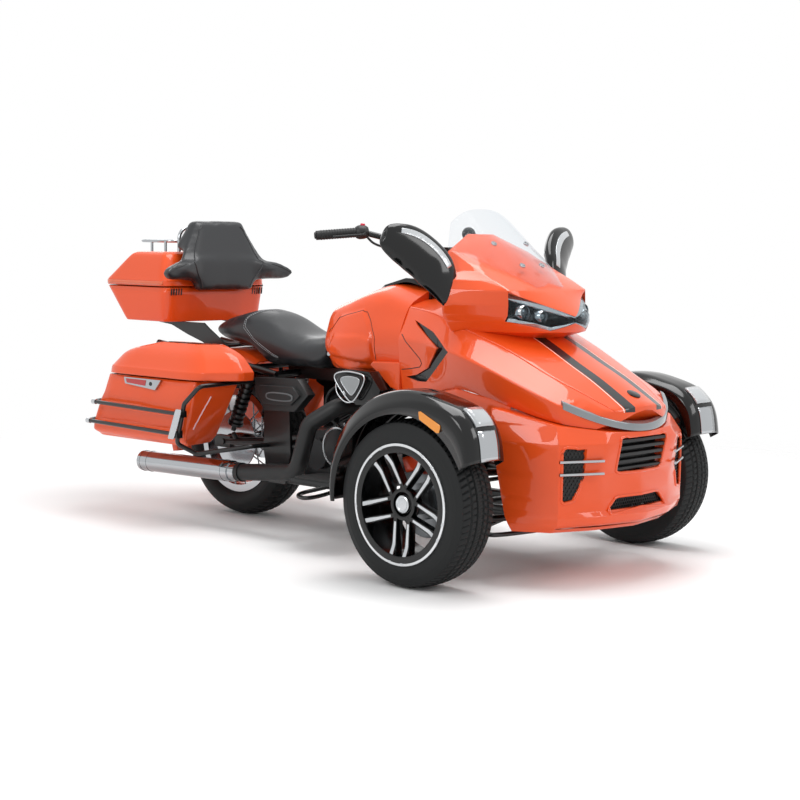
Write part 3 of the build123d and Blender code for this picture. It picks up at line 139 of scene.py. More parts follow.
# Orange enamel on the brake calipers
CALIPER_ENAMEL = Finish("caliper_enamel", "#D8431C", roughness=0.3, coat=0.4, grain=Grain.CAST, grain_mm=2,
                        bump=0.06)
# Pale polyester sewing thread
THREAD = Finish("polyester_thread", "#B9BDC0", roughness=0.7, grain=Grain.BRUSHED, grain_mm=1, bump=0.1)
# Red moulded switch cap
RED_SWITCH = Finish("red_switch_plastic", "#D01E3C", roughness=0.4, bump=0.02)
# Prismatic reflector tape: pinkish white
REFLECTOR = Finish("reflector_tape", "#F0C9CF", roughness=0.3, coat=0.4, bump=0.05)
# Orange-red reflector acrylic in the case lid's lip
CASE_LENS = Finish("orange_reflector_acrylic", "#E8622A", roughness=0.2, coat=0.6, grain=Grain.CAST, grain_mm=7,
                   bump=0.25, shade=0.25)
# Projector lens: clear glass over a bright bowl
BRIGHT_LENS = Finish("projector_glass", "#5C6468", metallic=0.7, roughness=0.08, coat=1.0, bump=0.01, shade=0.3)
# Aluminium shield with a coarse brushed face
BRUSHED_SHIELD = Finish("brushed_shield", "#A3A6A8", metallic=0.9, roughness=0.36, grain=Grain.CAST, grain_mm=8,
                        bump=0.35, shade=0.35)
# Warm grey satin plastic
SHIELD_GREY = Finish("satin_grey_plastic", "#5A5D5F", roughness=0.35, coat=0.3, bump=0.03)
# Matt white studio paper
WHITE_STUDIO = Finish("white_studio", "#FAFAFA", roughness=0.9, shade=0.0, bump=0.0)


def linear(colour: str) -> tuple[float, float, float, float]:
    """Linear RGBA of an sRGB hex colour.

    Args:
        colour: a string such as "#E8431A".
    Returns:
        Red, green, blue and an alpha of 1.
    """
    values = np.array([int(colour[i:i + 2], 16) for i in (1, 3, 5)]) / 255.0
    lit = np.where(values <= 0.04045, values / 12.92, ((values + 0.055) / 1.055) ** 2.4)
    return (*(float(v) for v in lit), 1.0)


def add_node(tree: NodeTree, kind: str, inputs: dict[int | str, object] | None = None,
             **settings: object) -> Node:
    """One node with its settings and inputs.

    Args:
        tree: the node tree it goes into.
        kind: the node's type name.
        inputs: input name or number to the output socket that feeds it, or to its fixed value.
        settings: attributes of the node itself.
    Returns:
        The node.
    """
    node = tree.nodes.new(kind)
    for key, value in settings.items():
        setattr(node, key, value)
    for key, value in (inputs or {}).items():
        if isinstance(value, NodeSocket):
            tree.links.new(value, node.inputs[key])
        else:
            node.inputs[key].default_value = value
    return node


class Paintbox:
    """Turns finishes into materials, each made once."""

    def __init__(self) -> None:
        """Starts with no materials."""
        self.made: dict[str, Material] = {}

    def relief(self, tree: NodeTree, finish: Finish, place: NodeSocket) -> NodeSocket:
        """Height pattern of a finish, from a real grain size: scale is one over the grain in metres.

        Args:
            tree: the material's node tree.
            finish: the finish.
            place: the coordinates the pattern follows.
        Returns:
            The socket that carries the height.
        """
        scale = 1.0 / (finish.grain_mm * MM)
        if finish.grain is Grain.LEATHER:
            cells = add_node(tree, "ShaderNodeTexVoronoi", {"Vector": place, "Scale": scale},
                             feature="DISTANCE_TO_EDGE")
            return cells.outputs["Distance"]
        if finish.grain is Grain.BRUSHED:
            squeeze = add_node(tree, "ShaderNodeMapping", {"Vector": place, "Scale": (1.0, 0.08, 1.0)})
            lines = add_node(tree, "ShaderNodeTexNoise", {"Vector": squeeze.outputs[0], "Scale": scale,
                                                          "Detail": 3.0})
            return lines.outputs[0]
        detail = {Grain.LACQUER: 1.0, Grain.CAST: 6.0, Grain.RUBBER: 4.0}.get(finish.grain, 3.0)
        noise = add_node(tree, "ShaderNodeTexNoise", {"Vector": place, "Scale": scale, "Detail": detail})
        return noise.outputs[0]

    def base(self, finish: Finish) -> tuple[Material, Node, Node, NodeSocket]:
        """Material with its shader, coordinates, broad colour shade and relief.

        Args:
            finish: the finish to lay.
        Returns:
            The material, its shader node, its coordinate node and the socket of its colour.
        """
        material = bpy.data.materials.new(finish.name)
        material.use_nodes = True
        tree = material.node_tree
        shader = tree.nodes["Principled BSDF"]
        shader.inputs["Metallic"].default_value = finish.metallic
        shader.inputs["Roughness"].default_value = finish.roughness
        shader.inputs["Coat Weight"].default_value = finish.coat
        shader.inputs["Coat Roughness"].default_value = 0.03
        shader.inputs["Specular IOR Level"].default_value = finish.specular
        place = add_node(tree, "ShaderNodeTexCoord")
        cloud = add_node(tree, "ShaderNodeTexNoise", {"Vector": place.outputs["Object"], "Scale": 9.0,
                                                      "Detail": 4.0})
        colour = linear(finish.colour)
        darker = tuple(c * (1 - finish.shade) for c in colour[:3]) + (1.0,)
        mix = add_node(tree, "ShaderNodeMix", {0: cloud.outputs[0], 6: darker, 7: colour}, data_type="RGBA")
        if finish.bump > 0:
            height = self.relief(tree, finish, place.outputs["Object"])
            bump = add_node(tree, "ShaderNodeBump", {"Height": height, "Strength": finish.bump,
                                                     "Distance": finish.grain_mm * MM * 0.3})
            tree.links.new(bump.outputs[0], shader.inputs["Normal"])
        tree.links.new(mix.outputs[2], shader.inputs["Base Color"])
        return material, shader, place, mix.outputs[2]

    def coat(self, finish: Finish) -> Material:
        """The material of a plain finish.

        Args:
            finish: the finish.
        Returns:
            The material, made once.
        """
        if finish.name not in self.made:
            self.made[finish.name] = self.base(finish)[0]
        return self.made[finish.name]

    def glass(self, name: str, colour: str) -> Material:
        """Clear polycarbonate sheet: see-through from the front; at a slant, by layer weight to the fourth, it turns
        towards a glossy shader whose pale grey base colour is a painted sheen over its real reflection.

        Args:
            name: the material's name.
            colour: tint, sRGB hex.
        Returns:
            The material.
        """
        if name in self.made:
            return self.made[name]
        material = bpy.data.materials.new(name)
        material.use_nodes = True
        tree = material.node_tree
        tree.nodes.remove(tree.nodes["Principled BSDF"])
        slant = add_node(tree, "ShaderNodeLayerWeight", {"Blend": 0.5})
        steep = add_node(tree, "ShaderNodeMath", {0: slant.outputs["Facing"], 1: 4.0}, operation="POWER")
        share = add_node(tree, "ShaderNodeMapRange", {0: steep.outputs[0], 3: 0.02, 4: 0.6})
        clear = add_node(tree, "ShaderNodeBsdfTransparent", {"Color": linear(colour)})
        # Pale grey base colour: painted sheen that fades in at a slant in place of reflected light; only this shader's
        # specular part is a real reflection
        gloss = add_node(tree, "ShaderNodeBsdfPrincipled", {"Base Color": linear("#B9C2C8"), "Roughness": 0.05})
        mixed = add_node(tree, "ShaderNodeMixShader", {0: share.outputs[0], 1: clear.outputs[0],
                                                       2: gloss.outputs[0]})
        tree.links.new(mixed.outputs[0], tree.nodes["Material Output"].inputs["Surface"])
        self.made[name] = material
        return material

    def reckon(self, tree: NodeTree, place: Node,
               rows: Sums) -> dict[str, NodeSocket]:
        """Works out a table of sums on the object's own coordinates in metres, one node a row.

        Args:
            tree: the material's node tree.
            place: its coordinate node.
            rows: (name of the result, operation, values), each value a number, X, Y, Z or the name of a result above.
        Returns:
            The socket of each result.
        """
        axes = add_node(tree, "ShaderNodeSeparateXYZ", {0: place.outputs["Object"]})
        found = {axis: axes.outputs[axis] for axis in "XYZ"}
        for name, operation, *values in rows:
            inputs = {number: found[value] if isinstance(value, str) else value
                      for number, value in enumerate(values)}
            found[name] = add_node(tree, "ShaderNodeMath", inputs, operation=operation).outputs[0]
        return found

    def patterned(self, name: str, finish: Finish, rows: Sums,
                  layers: tuple[tuple[str, str], ...], sockets: tuple[tuple[str, str], ...] = ()) -> Material:
        """A finish with other colours where a result of a table of sums is 1.

        Args:
            name: the material's name.
            finish: the finish below.
            rows: the table, as reckon reads it.
            layers: (result that masks it, sRGB hex) of each colour, laid in this order.
            sockets: (input of the shader, result that drives it).
        Returns:
            The material.
        """
        if name not in self.made:
            material, shader, place, colour = self.base(finish)
            material.name = name
            tree = material.node_tree
            found = self.reckon(tree, place, rows)
            for mask, shade in layers:
                mix = add_node(tree, "ShaderNodeMix", {0: found[mask], 6: colour, 7: linear(shade)},
                               data_type="RGBA")
                colour = mix.outputs[2]
            tree.links.new(colour, shader.inputs["Base Color"])
            for socket, result in sockets:
                tree.links.new(found[result], shader.inputs[socket])
            self.made[name] = material
        return self.made[name]


PAINT = Paintbox()


def soften(corners: np.ndarray, share: np.ndarray | float, steps: int) -> np.ndarray:
    """Closed outlines with rounded corners.

    Each corner V turns into the quadratic curve (1-t)^2 A + 2 t (1-t) V + t^2 B, where A and B lie the given share
    of the way to the corner before and the corner after.

    Args:
        corners: outlines as (..., corners, axes).
        share: one share for all corners, or one each, from 0 to 0.5.
        steps: points on each rounded corner.
    Returns:
        Outlines as (..., corners * steps, axes).
    """
    part = np.broadcast_to(np.asarray(share, float), corners.shape[-2:-1])[:, None]
    start = corners + part * (np.roll(corners, 1, axis=-2) - corners)
    end = corners + part * (np.roll(corners, -1, axis=-2) - corners)
    t = np.linspace(0, 1, steps)[:, None]
    curve = ((1 - t) ** 2 * start[..., None, :] + 2 * t * (1 - t) * corners[..., None, :]
             + t ** 2 * end[..., None, :])
    return curve.reshape(*corners.shape[:-2], -1, corners.shape[-1])


def glide(rows: np.ndarray, steps: int) -> np.ndarray:
    """Rows with smooth ones between them, by the cubic that passes through each row with the slope of its neighbours.

    Args:
        rows: sections as (rows, ...).
        steps: rows in each gap.
    Returns:
        Sections as ((rows - 1) * steps + 1, ...).
    """
    ends = np.concatenate([2 * rows[:1] - rows[1:2], rows, 2 * rows[-1:] - rows[-2:-1]])
    t = np.linspace(0, 1, steps, endpoint=False).reshape(-1, *([1] * (rows.ndim - 1)))[None]
    a, b, c, d = (ends[i:len(ends) - 3 + i, None] for i in range(4))
    mid = 0.5 * (2 * b + (c - a) * t + (2 * a - 5 * b + 4 * c - d) * t ** 2 + (3 * b - a - 3 * c + d) * t ** 3)
    return np.concatenate([mid.reshape(-1, *rows.shape[1:]), rows[-1:]])


def bend(points: list[Point], radius: float, steps: int = 8) -> np.ndarray:
    """Open path in mm whose inner corners are quadratic curves that start radius before each corner.

    Args:
        points: the path's corners.
        radius: distance from a corner at which the curve starts.
        steps: points on each curve.
    Returns:
        Path points as (n, 3).
    """
    p = np.asarray(points, float)
    before, after = p[:-2] - p[1:-1], p[2:] - p[1:-1]
    reach = [np.minimum(radius / np.linalg.norm(v, axis=1, keepdims=True), 0.5) * v for v in (before, after)]
    t = np.linspace(0, 1, steps)[None, :, None]
    a, v, b = (p[1:-1] + reach[0])[:, None], p[1:-1][:, None], (p[1:-1] + reach[1])[:, None]
    curve = (1 - t) ** 2 * a + 2 * t * (1 - t) * v + t ** 2 * b
    return np.concatenate([p[:1], curve.reshape(-1, 3), p[-1:]])


def surface(name: str, grid: np.ndarray, around: bool = True, along: bool = False, caps: bool = True,
            sharp: float = 38.0) -> Object:
    """Object whose faces join neighbours on a grid of points in mm.

    Args:
        name: the object's name.
        grid: points as (rows, columns, 3).
        around: joins the last column to the first.
        along: joins the last row to the first.
        caps: closes the first and last row with one face each.
        sharp: angle in degrees over which an edge stays sharp.
    Returns:
        The object, with its place in its mesh.
    """
    rows, columns = grid.shape[:2]
    first = np.arange(rows * columns).reshape(rows, columns)
    index = np.concatenate([first, first[:, :1]], axis=1) if around else first
    index = np.concatenate([index, index[:1]], axis=0) if along else index
    quads = np.stack([index[:-1, :-1], index[:-1, 1:], index[1:, 1:], index[1:, :-1]], axis=-1).reshape(-1, 4)
    faces = quads.tolist()
    if caps and not along:
        faces += [first[0, ::-1].tolist(), first[-1].tolist()]
    return shaped(name, grid.reshape(-1, 3), faces, sharp)


def shaped(name: str, points: np.ndarray, faces: list[list[int]], sharp: float = 38.0) -> Object:
    """Object from points in mm and faces, with doubles merged, normals outward and smooth shading.

    Args:
        name: the object's name.
        points: points as (n, 3).
        faces: point numbers of each face.
        sharp: angle in degrees over which an edge stays sharp.
    Returns:
        The object.
    """
    mesh = bpy.data.meshes.new(name)
    mesh.from_pydata((points * MM).tolist(), [], faces)
    work = bmesh.new()
    work.from_mesh(mesh)
    bmesh.ops.remove_doubles(work, verts=work.verts, dist=2e-5)
    bmesh.ops.dissolve_degenerate(work, edges=work.edges, dist=1e-5)
    bmesh.ops.recalc_face_normals(work, faces=work.faces)
    work.to_mesh(mesh)
    work.free()
    mesh.shade_smooth()
    mesh.set_sharp_from_angle(angle=radians(sharp))
    thing = bpy.data.objects.new(name, mesh)
    bpy.context.scene.collection.objects.link(thing)
    return thing


def tube(name: str, path: np.ndarray, radius: float | np.ndarray, sides: int = 16) -> Object:
    """Round tube along a path: each ring is centre + radius (n cos a + m sin a), with n and m square to the path.

    Args:
        name: the object's name.
        path: points in mm as (n, 3).
        radius: one radius, or one for each point.
        sides: points round the tube.
    Returns:
        The object.
    """
    run = np.gradient(path, axis=0)
    run /= np.linalg.norm(run, axis=1, keepdims=True)
    guide = np.array([0.31, 0.22, 0.92]) if abs(run[:, 2]).mean() < 0.8 else np.array([0.9, 0.3, 0.1])
    across = np.cross(run, guide)
    across /= np.linalg.norm(across, axis=1, keepdims=True)
    other = np.cross(run, across)
    a = np.linspace(0, 2 * np.pi, sides, endpoint=False)[None, :, None]
    size = np.broadcast_to(np.asarray(radius, float), len(path))[:, None, None]
    return surface(name, path[:, None] + size * (across[:, None] * np.cos(a) + other[:, None] * np.sin(a)))


def turned(name: str, centre: Point, side: int, profile: list[Pair],
           steps: int = 96, closed: bool = True) -> Object:
    """Ring about the crosswise line through centre: x = r cos a, y = side * offset, z = r sin a.

    Args:
        name: the object's name.
        centre: centre in mm.
        side: +1 where an outward offset is towards +Y, -1 towards -Y.
        profile: (radius, outward offset) points.
        steps: points round the ring.
        closed: joins the profile's last point to its first.
    Returns:
        The object.
    """
    p = np.asarray(profile, float)
    a = np.linspace(0, 2 * np.pi, steps, endpoint=False)[:, None]
    grid = np.stack([p[:, 0] * np.cos(a), np.broadcast_to(side * p[:, 1], (steps, len(p))),
                     p[:, 0] * np.sin(a)], axis=-1)
    return surface(name, grid + np.asarray(centre, float), around=closed, along=True, caps=False)


def plate(name: str, outline: list[Pair], axis: str, low: float, high: float,
          bevel: float = 0.0) -> Object:
    """Flat plate: an outline in the plane square to axis, made solid from low to high.

    Args:
        name: the object's name.
        outline: points in mm, as (X, Z) for axis Y, (Y, Z) for axis X and (X, Y) for axis Z.
        axis: "X", "Y" or "Z".
        low: where it starts on that axis.
        high: where it ends.
        bevel: width of its rounded edges.
    Returns:
        The object.
    """
    p = np.asarray(outline, float)
    column = "XYZ".index(axis)
    rows = [np.insert(p, column, level, axis=1) for level in (low, high)]
    thing = surface(name, np.stack(rows), sharp=30)
    if bevel:
        round_edges(thing, bevel)
    return thing


def round_edges(thing: Object, width: float, angle: float = 28.0, segments: int = 3) -> None:
    """Rounds an object's edges.

    Args:
        thing: the object.
        width: width of the rounding in mm.
        angle: the edges over this angle in degrees are rounded.
        segments: faces across the rounding.
    """
    bevel = thing.modifiers.new("rounded_edges", "BEVEL")
    bevel.width = width * MM
    bevel.segments = segments
    bevel.limit_method = "ANGLE"
    bevel.angle_limit = radians(angle)
    bevel.use_clamp_overlap = True
    bevel.harden_normals = False


def smooth_group() -> NodeTree:
    """Geometry group that merges loose triangles, then shades them smooth except over steep edges.

    Returns:
        The group, made once.
    """
    name = "merged_and_smooth"
    if name in bpy.data.node_groups:
        return bpy.data.node_groups[name]
    tree = bpy.data.node_groups.new(name, "GeometryNodeTree")
    tree.interface.new_socket("Geometry", in_out="INPUT", socket_type="NodeSocketGeometry")
    tree.interface.new_socket("Geometry", in_out="OUTPUT", socket_type="NodeSocketGeometry")
    start = add_node(tree, "NodeGroupInput")
    merged = add_node(tree, "GeometryNodeMergeByDistance", {"Geometry": start.outputs[0], "Distance": 2e-5})
    flat = add_node(tree, "GeometryNodeSetShadeSmooth", {"Geometry": merged.outputs[0], "Shade Smooth": True},
                    domain="FACE")
    angle = add_node(tree, "GeometryNodeInputMeshEdgeAngle")
    wide = add_node(tree, "FunctionNodeCompare", {0: angle.outputs["Unsigned Angle"], 1: radians(32)},
                    operation="GREATER_THAN")
    edges = add_node(tree, "GeometryNodeSetShadeSmooth", {"Geometry": flat.outputs[0],
                                                          "Selection": wide.outputs[0],
                                                            "Shade Smooth": False}, domain="EDGE")
    add_node(tree, "NodeGroupOutput", {0: edges.outputs[0]})
    return tree


def dress(node: str, finish: Finish | Material, bevel: float = 0.0) -> Object:
    """Gives a CAD node its material, smooth shading and, where asked, rounded edges.

    Args:
        node: the CAD node's name.
        finish: its finish or ready material.
        bevel: width of the rounded edges in mm, or 0.
    Returns:
        The node's object.
    """
    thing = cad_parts[node]
    thing.data.materials.clear()
    thing.data.materials.append(finish if isinstance(finish, Material) else PAINT.coat(finish))
    if bevel:
        weld = thing.modifiers.new("joined", "WELD")
        weld.merge_threshold = 2e-5
        round_edges(thing, bevel)
    smooth = thing.modifiers.new("smooth_faces", "NODES")
    smooth.node_group = smooth_group()
    return thing


def place(thing: Object, body: str, finish: Finish | Material, slot: str,
          stands_for: tuple[str, ...] = ()) -> Object:
    """Finishes a new piece and fastens it to its body.

    Args:
        thing: the piece.
        body: the CAD body it rides on.
        finish: its finish or ready material.
        slot: a material slot's name; it is not used.
        stands_for: CAD nodes it replaces.
    Returns:
        The piece.
    """
    thing.data.materials.clear()
    thing.data.materials.append(finish if isinstance(finish, Material) else PAINT.coat(finish))
    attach(thing, body)
    if stands_for:
        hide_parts(*stands_for)
    return thing


def mirrored(half: list[Pair]) -> np.ndarray:
    """Closed outline from the points on its +first-axis half, mirrored on the other side."""
    other = [(-a, b) for a, b in reversed(half) if a != 0]
    return np.asarray(list(half) + other, float)


@dataclass
class BodyShell:
    """Body shell with the hood, its grooved seams and the painted stripes."""

    # X, low half width, low Z, shoulder half width and Z, hood seam half width and Z, crown Z
    sections: Table = (
        (362, 215, 592, 235, 790, 176, 905, 940),
        (520, 245, 592, 272, 782, 222, 890, 925),
        (711, 305, 628, 340, 762, 262, 842, 886),
        (880, 325, 606, 352, 718, 246, 782, 826),
        (1057, 322, 566, 330, 652, 222, 698, 737),
        (1165, 290, 543, 296, 604, 186, 646, 684),
        (1330, 196, 508, 214, 520, 120, 560, 590),
    )
    # Share of its sides that each corner of half an outline takes, from the middle of the foot to the crown
    shares: tuple[float, ...] = (0.3, 0.15, 0.4, 0.10, 0.2, 0.3, 0.2, 0.45, 0.45)
    corner_steps: int = 7
    section_steps: int = 14
    nose_x: float = 1300
    nose_side: Pair = (1165, 292)
    # Seam over the bumper: X and Z where it starts and its slope, and the X from which it trims the shell
    seam: Point = (950, 592, -0.211)
    seam_from: float = 900
    groove: float = 5
    # Stripes in metres: X where they start, lowest Z, half width, near and far edge of the white line outside it
    stripe_start: float = 0.70
    stripe_low: float = 0.583
    stripe_half: float = 0.0215
    stripe_white: Pair = (0.0245, 0.0275)
    # A stripe's middle lies at off + spread (x - at) from the centre line, in metres
    stripe_middle: Point = (0.0705, 0.0295, 0.863)
    chevron: Outline = (
        (425, 860), (556, 824), (692, 762), (518, 643), (466, 641), (398, 653), (460, 664), (537, 695),
        (615, 770), (520, 808), (446, 843))
    # Half width of the shell's core under a vent, the vent's depth below the skin, and points round it
    chevron_floor: float = 212
    chevron_depth: float = 7
    chevron_points: int = 70
    cutter_reach: float = 420
    panel_line: Outline = ((376, 806), (430, 766), (490, 724), (500, 708), (486, 694), (425, 684), (376, 678))
    # Where the bumper's outline turns: Z, then X and half width at its rear end, corner and face, and X at its nose
    bumper: Table = ((484, 968, 418, 1202, 353, 1284, 202, 1306), (540, 955, 408, 1172, 330, 1272, 160, 1313),
                                             (606, 942, 392, 1124, 318, 1224, 150, 1296))
    cheek: Outline = ((368, 596), (368, 704), (230, 700), (214, 684), (262, 652), (320, 608))
    cheek_sides: Pair = (206, 232)
    cheek_round: float = 6
    # Skirt: X at its ends and points between, how far it hangs at an X, and its offset outward at a share of that
    skirt_span: tuple[float, float, int] = (640, 972, 34)
    skirt_drop: Outline = ((640, 4), (740, 52), (860, 74), (972, 60))
    skirt_profile: Outline = ((0.0, 3.0), (0.3, 6.0), (0.7, 4.0), (1.0, -4.0))
    skirt_overlap: float = 8
    skirt_wall: float = 4
    # Ledge: X at its ends and points between, how far under the seam and inside the bumper it lies, and its rows
    ledge_span: tuple[float, float, int] = (946, 1286, 60)
    ledge_drop: float = 4
    ledge_inset: float = 2
    ledge_rows: tuple[float, ...] = (1.0, 0.85, 0.66)
    ledge_wall: float = 3

    def nose(self, y: np.ndarray) -> np.ndarray:
        """X of the nose: the circle through its tip and both of its ends.

        Args:
            y: distances from the middle plane in mm.
        Returns:
            X in mm, in the same shape.
        """
        x0, y0 = self.nose_side
        rise = self.nose_x - x0
        radius = (rise ** 2 + y0 ** 2) / (2 * rise)
        return self.nose_x - radius + np.sqrt(np.maximum(radius ** 2 - y ** 2, 0))

    def outline(self, row: tuple[float, ...]) -> np.ndarray:
        """One section in (Y, Z) with its crease, seam groove and crown.

        Args:
            row: one row of the table.
        Returns:
            Closed outline as (points, 2).
        """
        _, low_y, low_z, wide_y, wide_z, seam_y, seam_z, crown_z = row
        out = np.array([wide_y - seam_y, wide_z - seam_z], float)
        out /= np.linalg.norm(out)
        seam = np.array([seam_y, seam_z], float)
        g = self.groove
        mid = (low_y + wide_y) / 2 + 2, (low_z + wide_z) / 2
        half = [
            (0, low_z), (low_y, low_z), mid, (wide_y, wide_z), tuple(seam + out * g),
            tuple(seam + out * (g / 2) + (-1, -g * 1.2)),
            tuple(seam), (seam_y * 0.55, seam_z + (crown_z - seam_z) * 0.62), (0, crown_z),
        ]
        return mirrored(half)

    def build(self) -> None:
        """Lofts the shell, trims it to the nose and the bumper seam, and builds what lies on its flanks."""
        shares = np.array(self.shares + self.shares[-2:0:-1])
        flat = np.stack([soften(self.outline(row), shares, self.corner_steps) for row in self.sections])
        x = np.broadcast_to(np.array([row[0] for row in self.sections])[:, None, None], (*flat.shape[:2], 1))
        grid = glide(np.concatenate([x, flat], axis=2), self.section_steps)
        grid[..., 0] = np.minimum(grid[..., 0], self.nose(grid[..., 1]))
        floor = np.where(grid[..., 0] > self.seam_from, self.seam_z(grid[..., 0]), 0)
        grid[..., 2] = np.maximum(grid[..., 2], floor)
        shell = surface("body_shell_panels", grid)
        skin = Skin(shell)
        line = respaced(np.array(self.chevron, float), self.chevron_points)
        depths = [skin.flank(line, side) - self.chevron_depth for _, side in SIDES]
        for _, side in SIDES:
            start, end = side * self.chevron_floor, side * self.cutter_reach
            cut(shell, plate("vent_cutter", list(self.chevron), "Y", start, end))
        place(shell, "chassis", self.paint(), "orange_paint", ("body_shell", "hood"))
        for (name, side), depth in zip(SIDES, depths):
            self.vent(name, side, line, depth)
            cheek = plate(f"tank_cheek_{name}", list(self.cheek), "Y", *(side * y for y in self.cheek_sides),
                          self.cheek_round)
            place(cheek, "chassis", ORANGE_LACQUER, "orange_paint")
            self.ledge(name, side)
            self.skirt(name, side)
            path = np.insert(np.array(self.panel_line, float), 1,
                             side * skin.flank(np.array(self.panel_line), side), axis=1)
            seam = tube(f"flank_panel_line_{name}", skin.along(path.tolist(), 0.3, 6.0), 1.5, 6)
            place(seam, "chassis", GRAINED_ABS, "orange_paint")

    def seam_z(self, x: np.ndarray) -> np.ndarray:
        """Height of the seam over the bumper at each x."""
        start_x, start_z, slope = self.seam
        return start_z + slope * (x - start_x)

    def vent(self, name: str, side: int, line: np.ndarray, depth: np.ndarray) -> None:
        """Black chevron in the flank, whose face follows the skin a little below it.

        Args:
            name: the side's name.
            side: +1 for left, -1 for right.
            line: its outline in (X, Z).
            depth: distance of its face from the middle plane, along the outline.
        """
        levels = np.full(len(line), self.chevron_floor), depth
        rows = np.stack([np.insert(line, 1, side * level, axis=1) for level in levels])
        replaced = ("chevron_vents",) if side < 0 else ()
        place(surface(f"chevron_{name}", rows, sharp=30), "chassis", GLOSS_ABS, "black_gloss", replaced)

    def skirt(self, name: str, side: int) -> None:
        """Flank below the shell's edge, from behind the wheel forward to the bumper.

        Args:
            name: the side's name.
            side: +1 for left, -1 for right.
        """
        x = np.linspace(*self.skirt_span)
        table = np.array(self.sections, float)
        low_y, low_z = (np.interp(x, table[:, 0], table[:, i]) for i in (1, 2))
        drop = np.interp(x, *np.array(self.skirt_drop, float).T) + self.skirt_overlap
        rows = np.stack([np.stack([x, side * (low_y + out), low_z + self.skirt_overlap - drop * part], axis=-1)
                         for part, out in self.skirt_profile], axis=1)
        panel = sheet(f"flank_skirt_{name}", rows, self.skirt_wall)
        place(panel, "chassis", ORANGE_LACQUER, "orange_paint")

    def ledge(self, name: str, side: int) -> None:
        """Flat ledge that closes the step between the bumper's top edge and the shell above it.

        Args:
            name: the side's name.
            side: +1 for left, -1 for right.
        """
        x = np.linspace(*self.ledge_span)
        z = self.seam_z(x) - self.ledge_drop
        table = np.array(self.bumper, float)
        rear_x, rear_y, corner_x, corner_y, face_x, face_y, nose = (np.interp(z, table[:, 0], column)
                                                                    for column in table[:, 1:].T)
        y = np.where(x < corner_x, rear_y + (corner_y - rear_y) * (x - rear_x) / (corner_x - rear_x),
                     corner_y + (face_y - corner_y) * (x - corner_x) / (face_x - corner_x))
        y = np.where(x > face_x, face_y * (nose - x) / (nose - face_x), y) - self.ledge_inset
        rows = np.stack([np.stack([x, side * y * part, z], axis=-1) for part in self.ledge_rows], axis=1)
        shelf = sheet(f"bumper_ledge_{name}", rows, self.ledge_wall)
        place(shelf, "chassis", ORANGE_LACQUER, "orange_paint")

    def paint(self) -> Material:
        """Orange lacquer with two black stripes that spread along the hood, each with a thin white line outside it.

        Returns:
            The material.
        """
        off, spread, at = self.stripe_middle
        near, far = self.stripe_white
        rows = (
            ("side", "ABSOLUTE", "Y"), ("ahead", "SUBTRACT", "X", at), ("slant", "MULTIPLY", "ahead", spread),
            ("middle", "ADD", "slant", off), ("gap", "SUBTRACT", "side", "middle"), ("off", "ABSOLUTE", "gap"),
            ("top", "GREATER_THAN", "X", self.stripe_start), ("hood", "GREATER_THAN", "Z", self.stripe_low),
            ("area", "MULTIPLY", "top", "hood"),
            ("inside", "LESS_THAN", "off", self.stripe_half), ("black", "MULTIPLY", "inside", "area"),
            ("past", "GREATER_THAN", "gap", near), ("before", "LESS_THAN", "gap", far),
            ("line", "MULTIPLY", "past", "before"),
            ("white", "MULTIPLY", "line", "area"),
        )
        return PAINT.patterned("striped_orange_lacquer", ORANGE_LACQUER, rows,
                               (("white", "#F3E9E2"), ("black", "#17181A")))


def dense(rows: np.ndarray, steps: int) -> np.ndarray:
    """Rows with straight ones between them.

    Args:
        rows: sections as (rows, ...).
        steps: rows to a gap.
    Returns:
        The denser sections.
    """
    at = np.linspace(0, len(rows) - 1, (len(rows) - 1) * steps + 1)
    low = np.minimum(at.astype(int), len(rows) - 2)
    part = (at - low).reshape(-1, *([1] * (rows.ndim - 1)))
    return rows[low] * (1 - part) + rows[low + 1] * part


def eased(rows: np.ndarray, share: float, steps: int) -> np.ndarray:
    """Open run of rows whose inner ones turn into quadratic curves, as soften does for corners.

    Args:
        rows: sections as (rows, ...).
        share: how much of each neighbouring gap a curve takes.
        steps: rows on each curve.
    Returns:
        Sections as ((rows - 2) * steps + 2, ...).
    """
    a = rows[1:-1] + share * (rows[:-2] - rows[1:-1])
    b = rows[1:-1] + share * (rows[2:] - rows[1:-1])
    t = np.linspace(0, 1, steps).reshape(1, -1, *([1] * (rows.ndim - 1)))
    curve = (1 - t) ** 2 * a[:, None] + 2 * t * (1 - t) * rows[1:-1][:, None] + t ** 2 * b[:, None]
    return np.concatenate([rows[:1], curve.reshape(-1, *rows.shape[1:]), rows[-1:]])


def respaced(outline: np.ndarray, count: int) -> np.ndarray:
    """Closed outline with its points spaced evenly along it.

    Args:
        outline: points in order.
        count: how many points to return.
    Returns:
        Points as (count, axes).
    """
    loop = np.concatenate([outline, outline[:1]])
    run = np.concatenate([[0.0], np.cumsum(np.linalg.norm(np.diff(loop, axis=0), axis=1))])
    at = np.linspace(0, run[-1], count, endpoint=False)
    return np.stack([np.interp(at, run, loop[:, axis]) for axis in range(loop.shape[1])], axis=-1)


def rounded_ring(corners: np.ndarray, share: float, curve_steps: int, straight_steps: int) -> np.ndarray:
    """Closed outline with rounded corners and points along its straight sides, in the same order for any corners.

    Args:
        corners: the corners as (corners, 3).
        share: how much of each side a corner takes.
        curve_steps: points on each corner.
        straight_steps: points between corners.
    Returns:
        Points as (n, 3).
    """
    curve = soften(corners, share, curve_steps).reshape(len(corners), curve_steps, 3)
    t = np.linspace(0, 1, straight_steps + 2)[None, 1:-1, None]
    line = curve[:, -1:] * (1 - t) + np.roll(curve[:, :1], -1, axis=0) * t
    return np.concatenate([curve, line], axis=1).reshape(-1, 3)


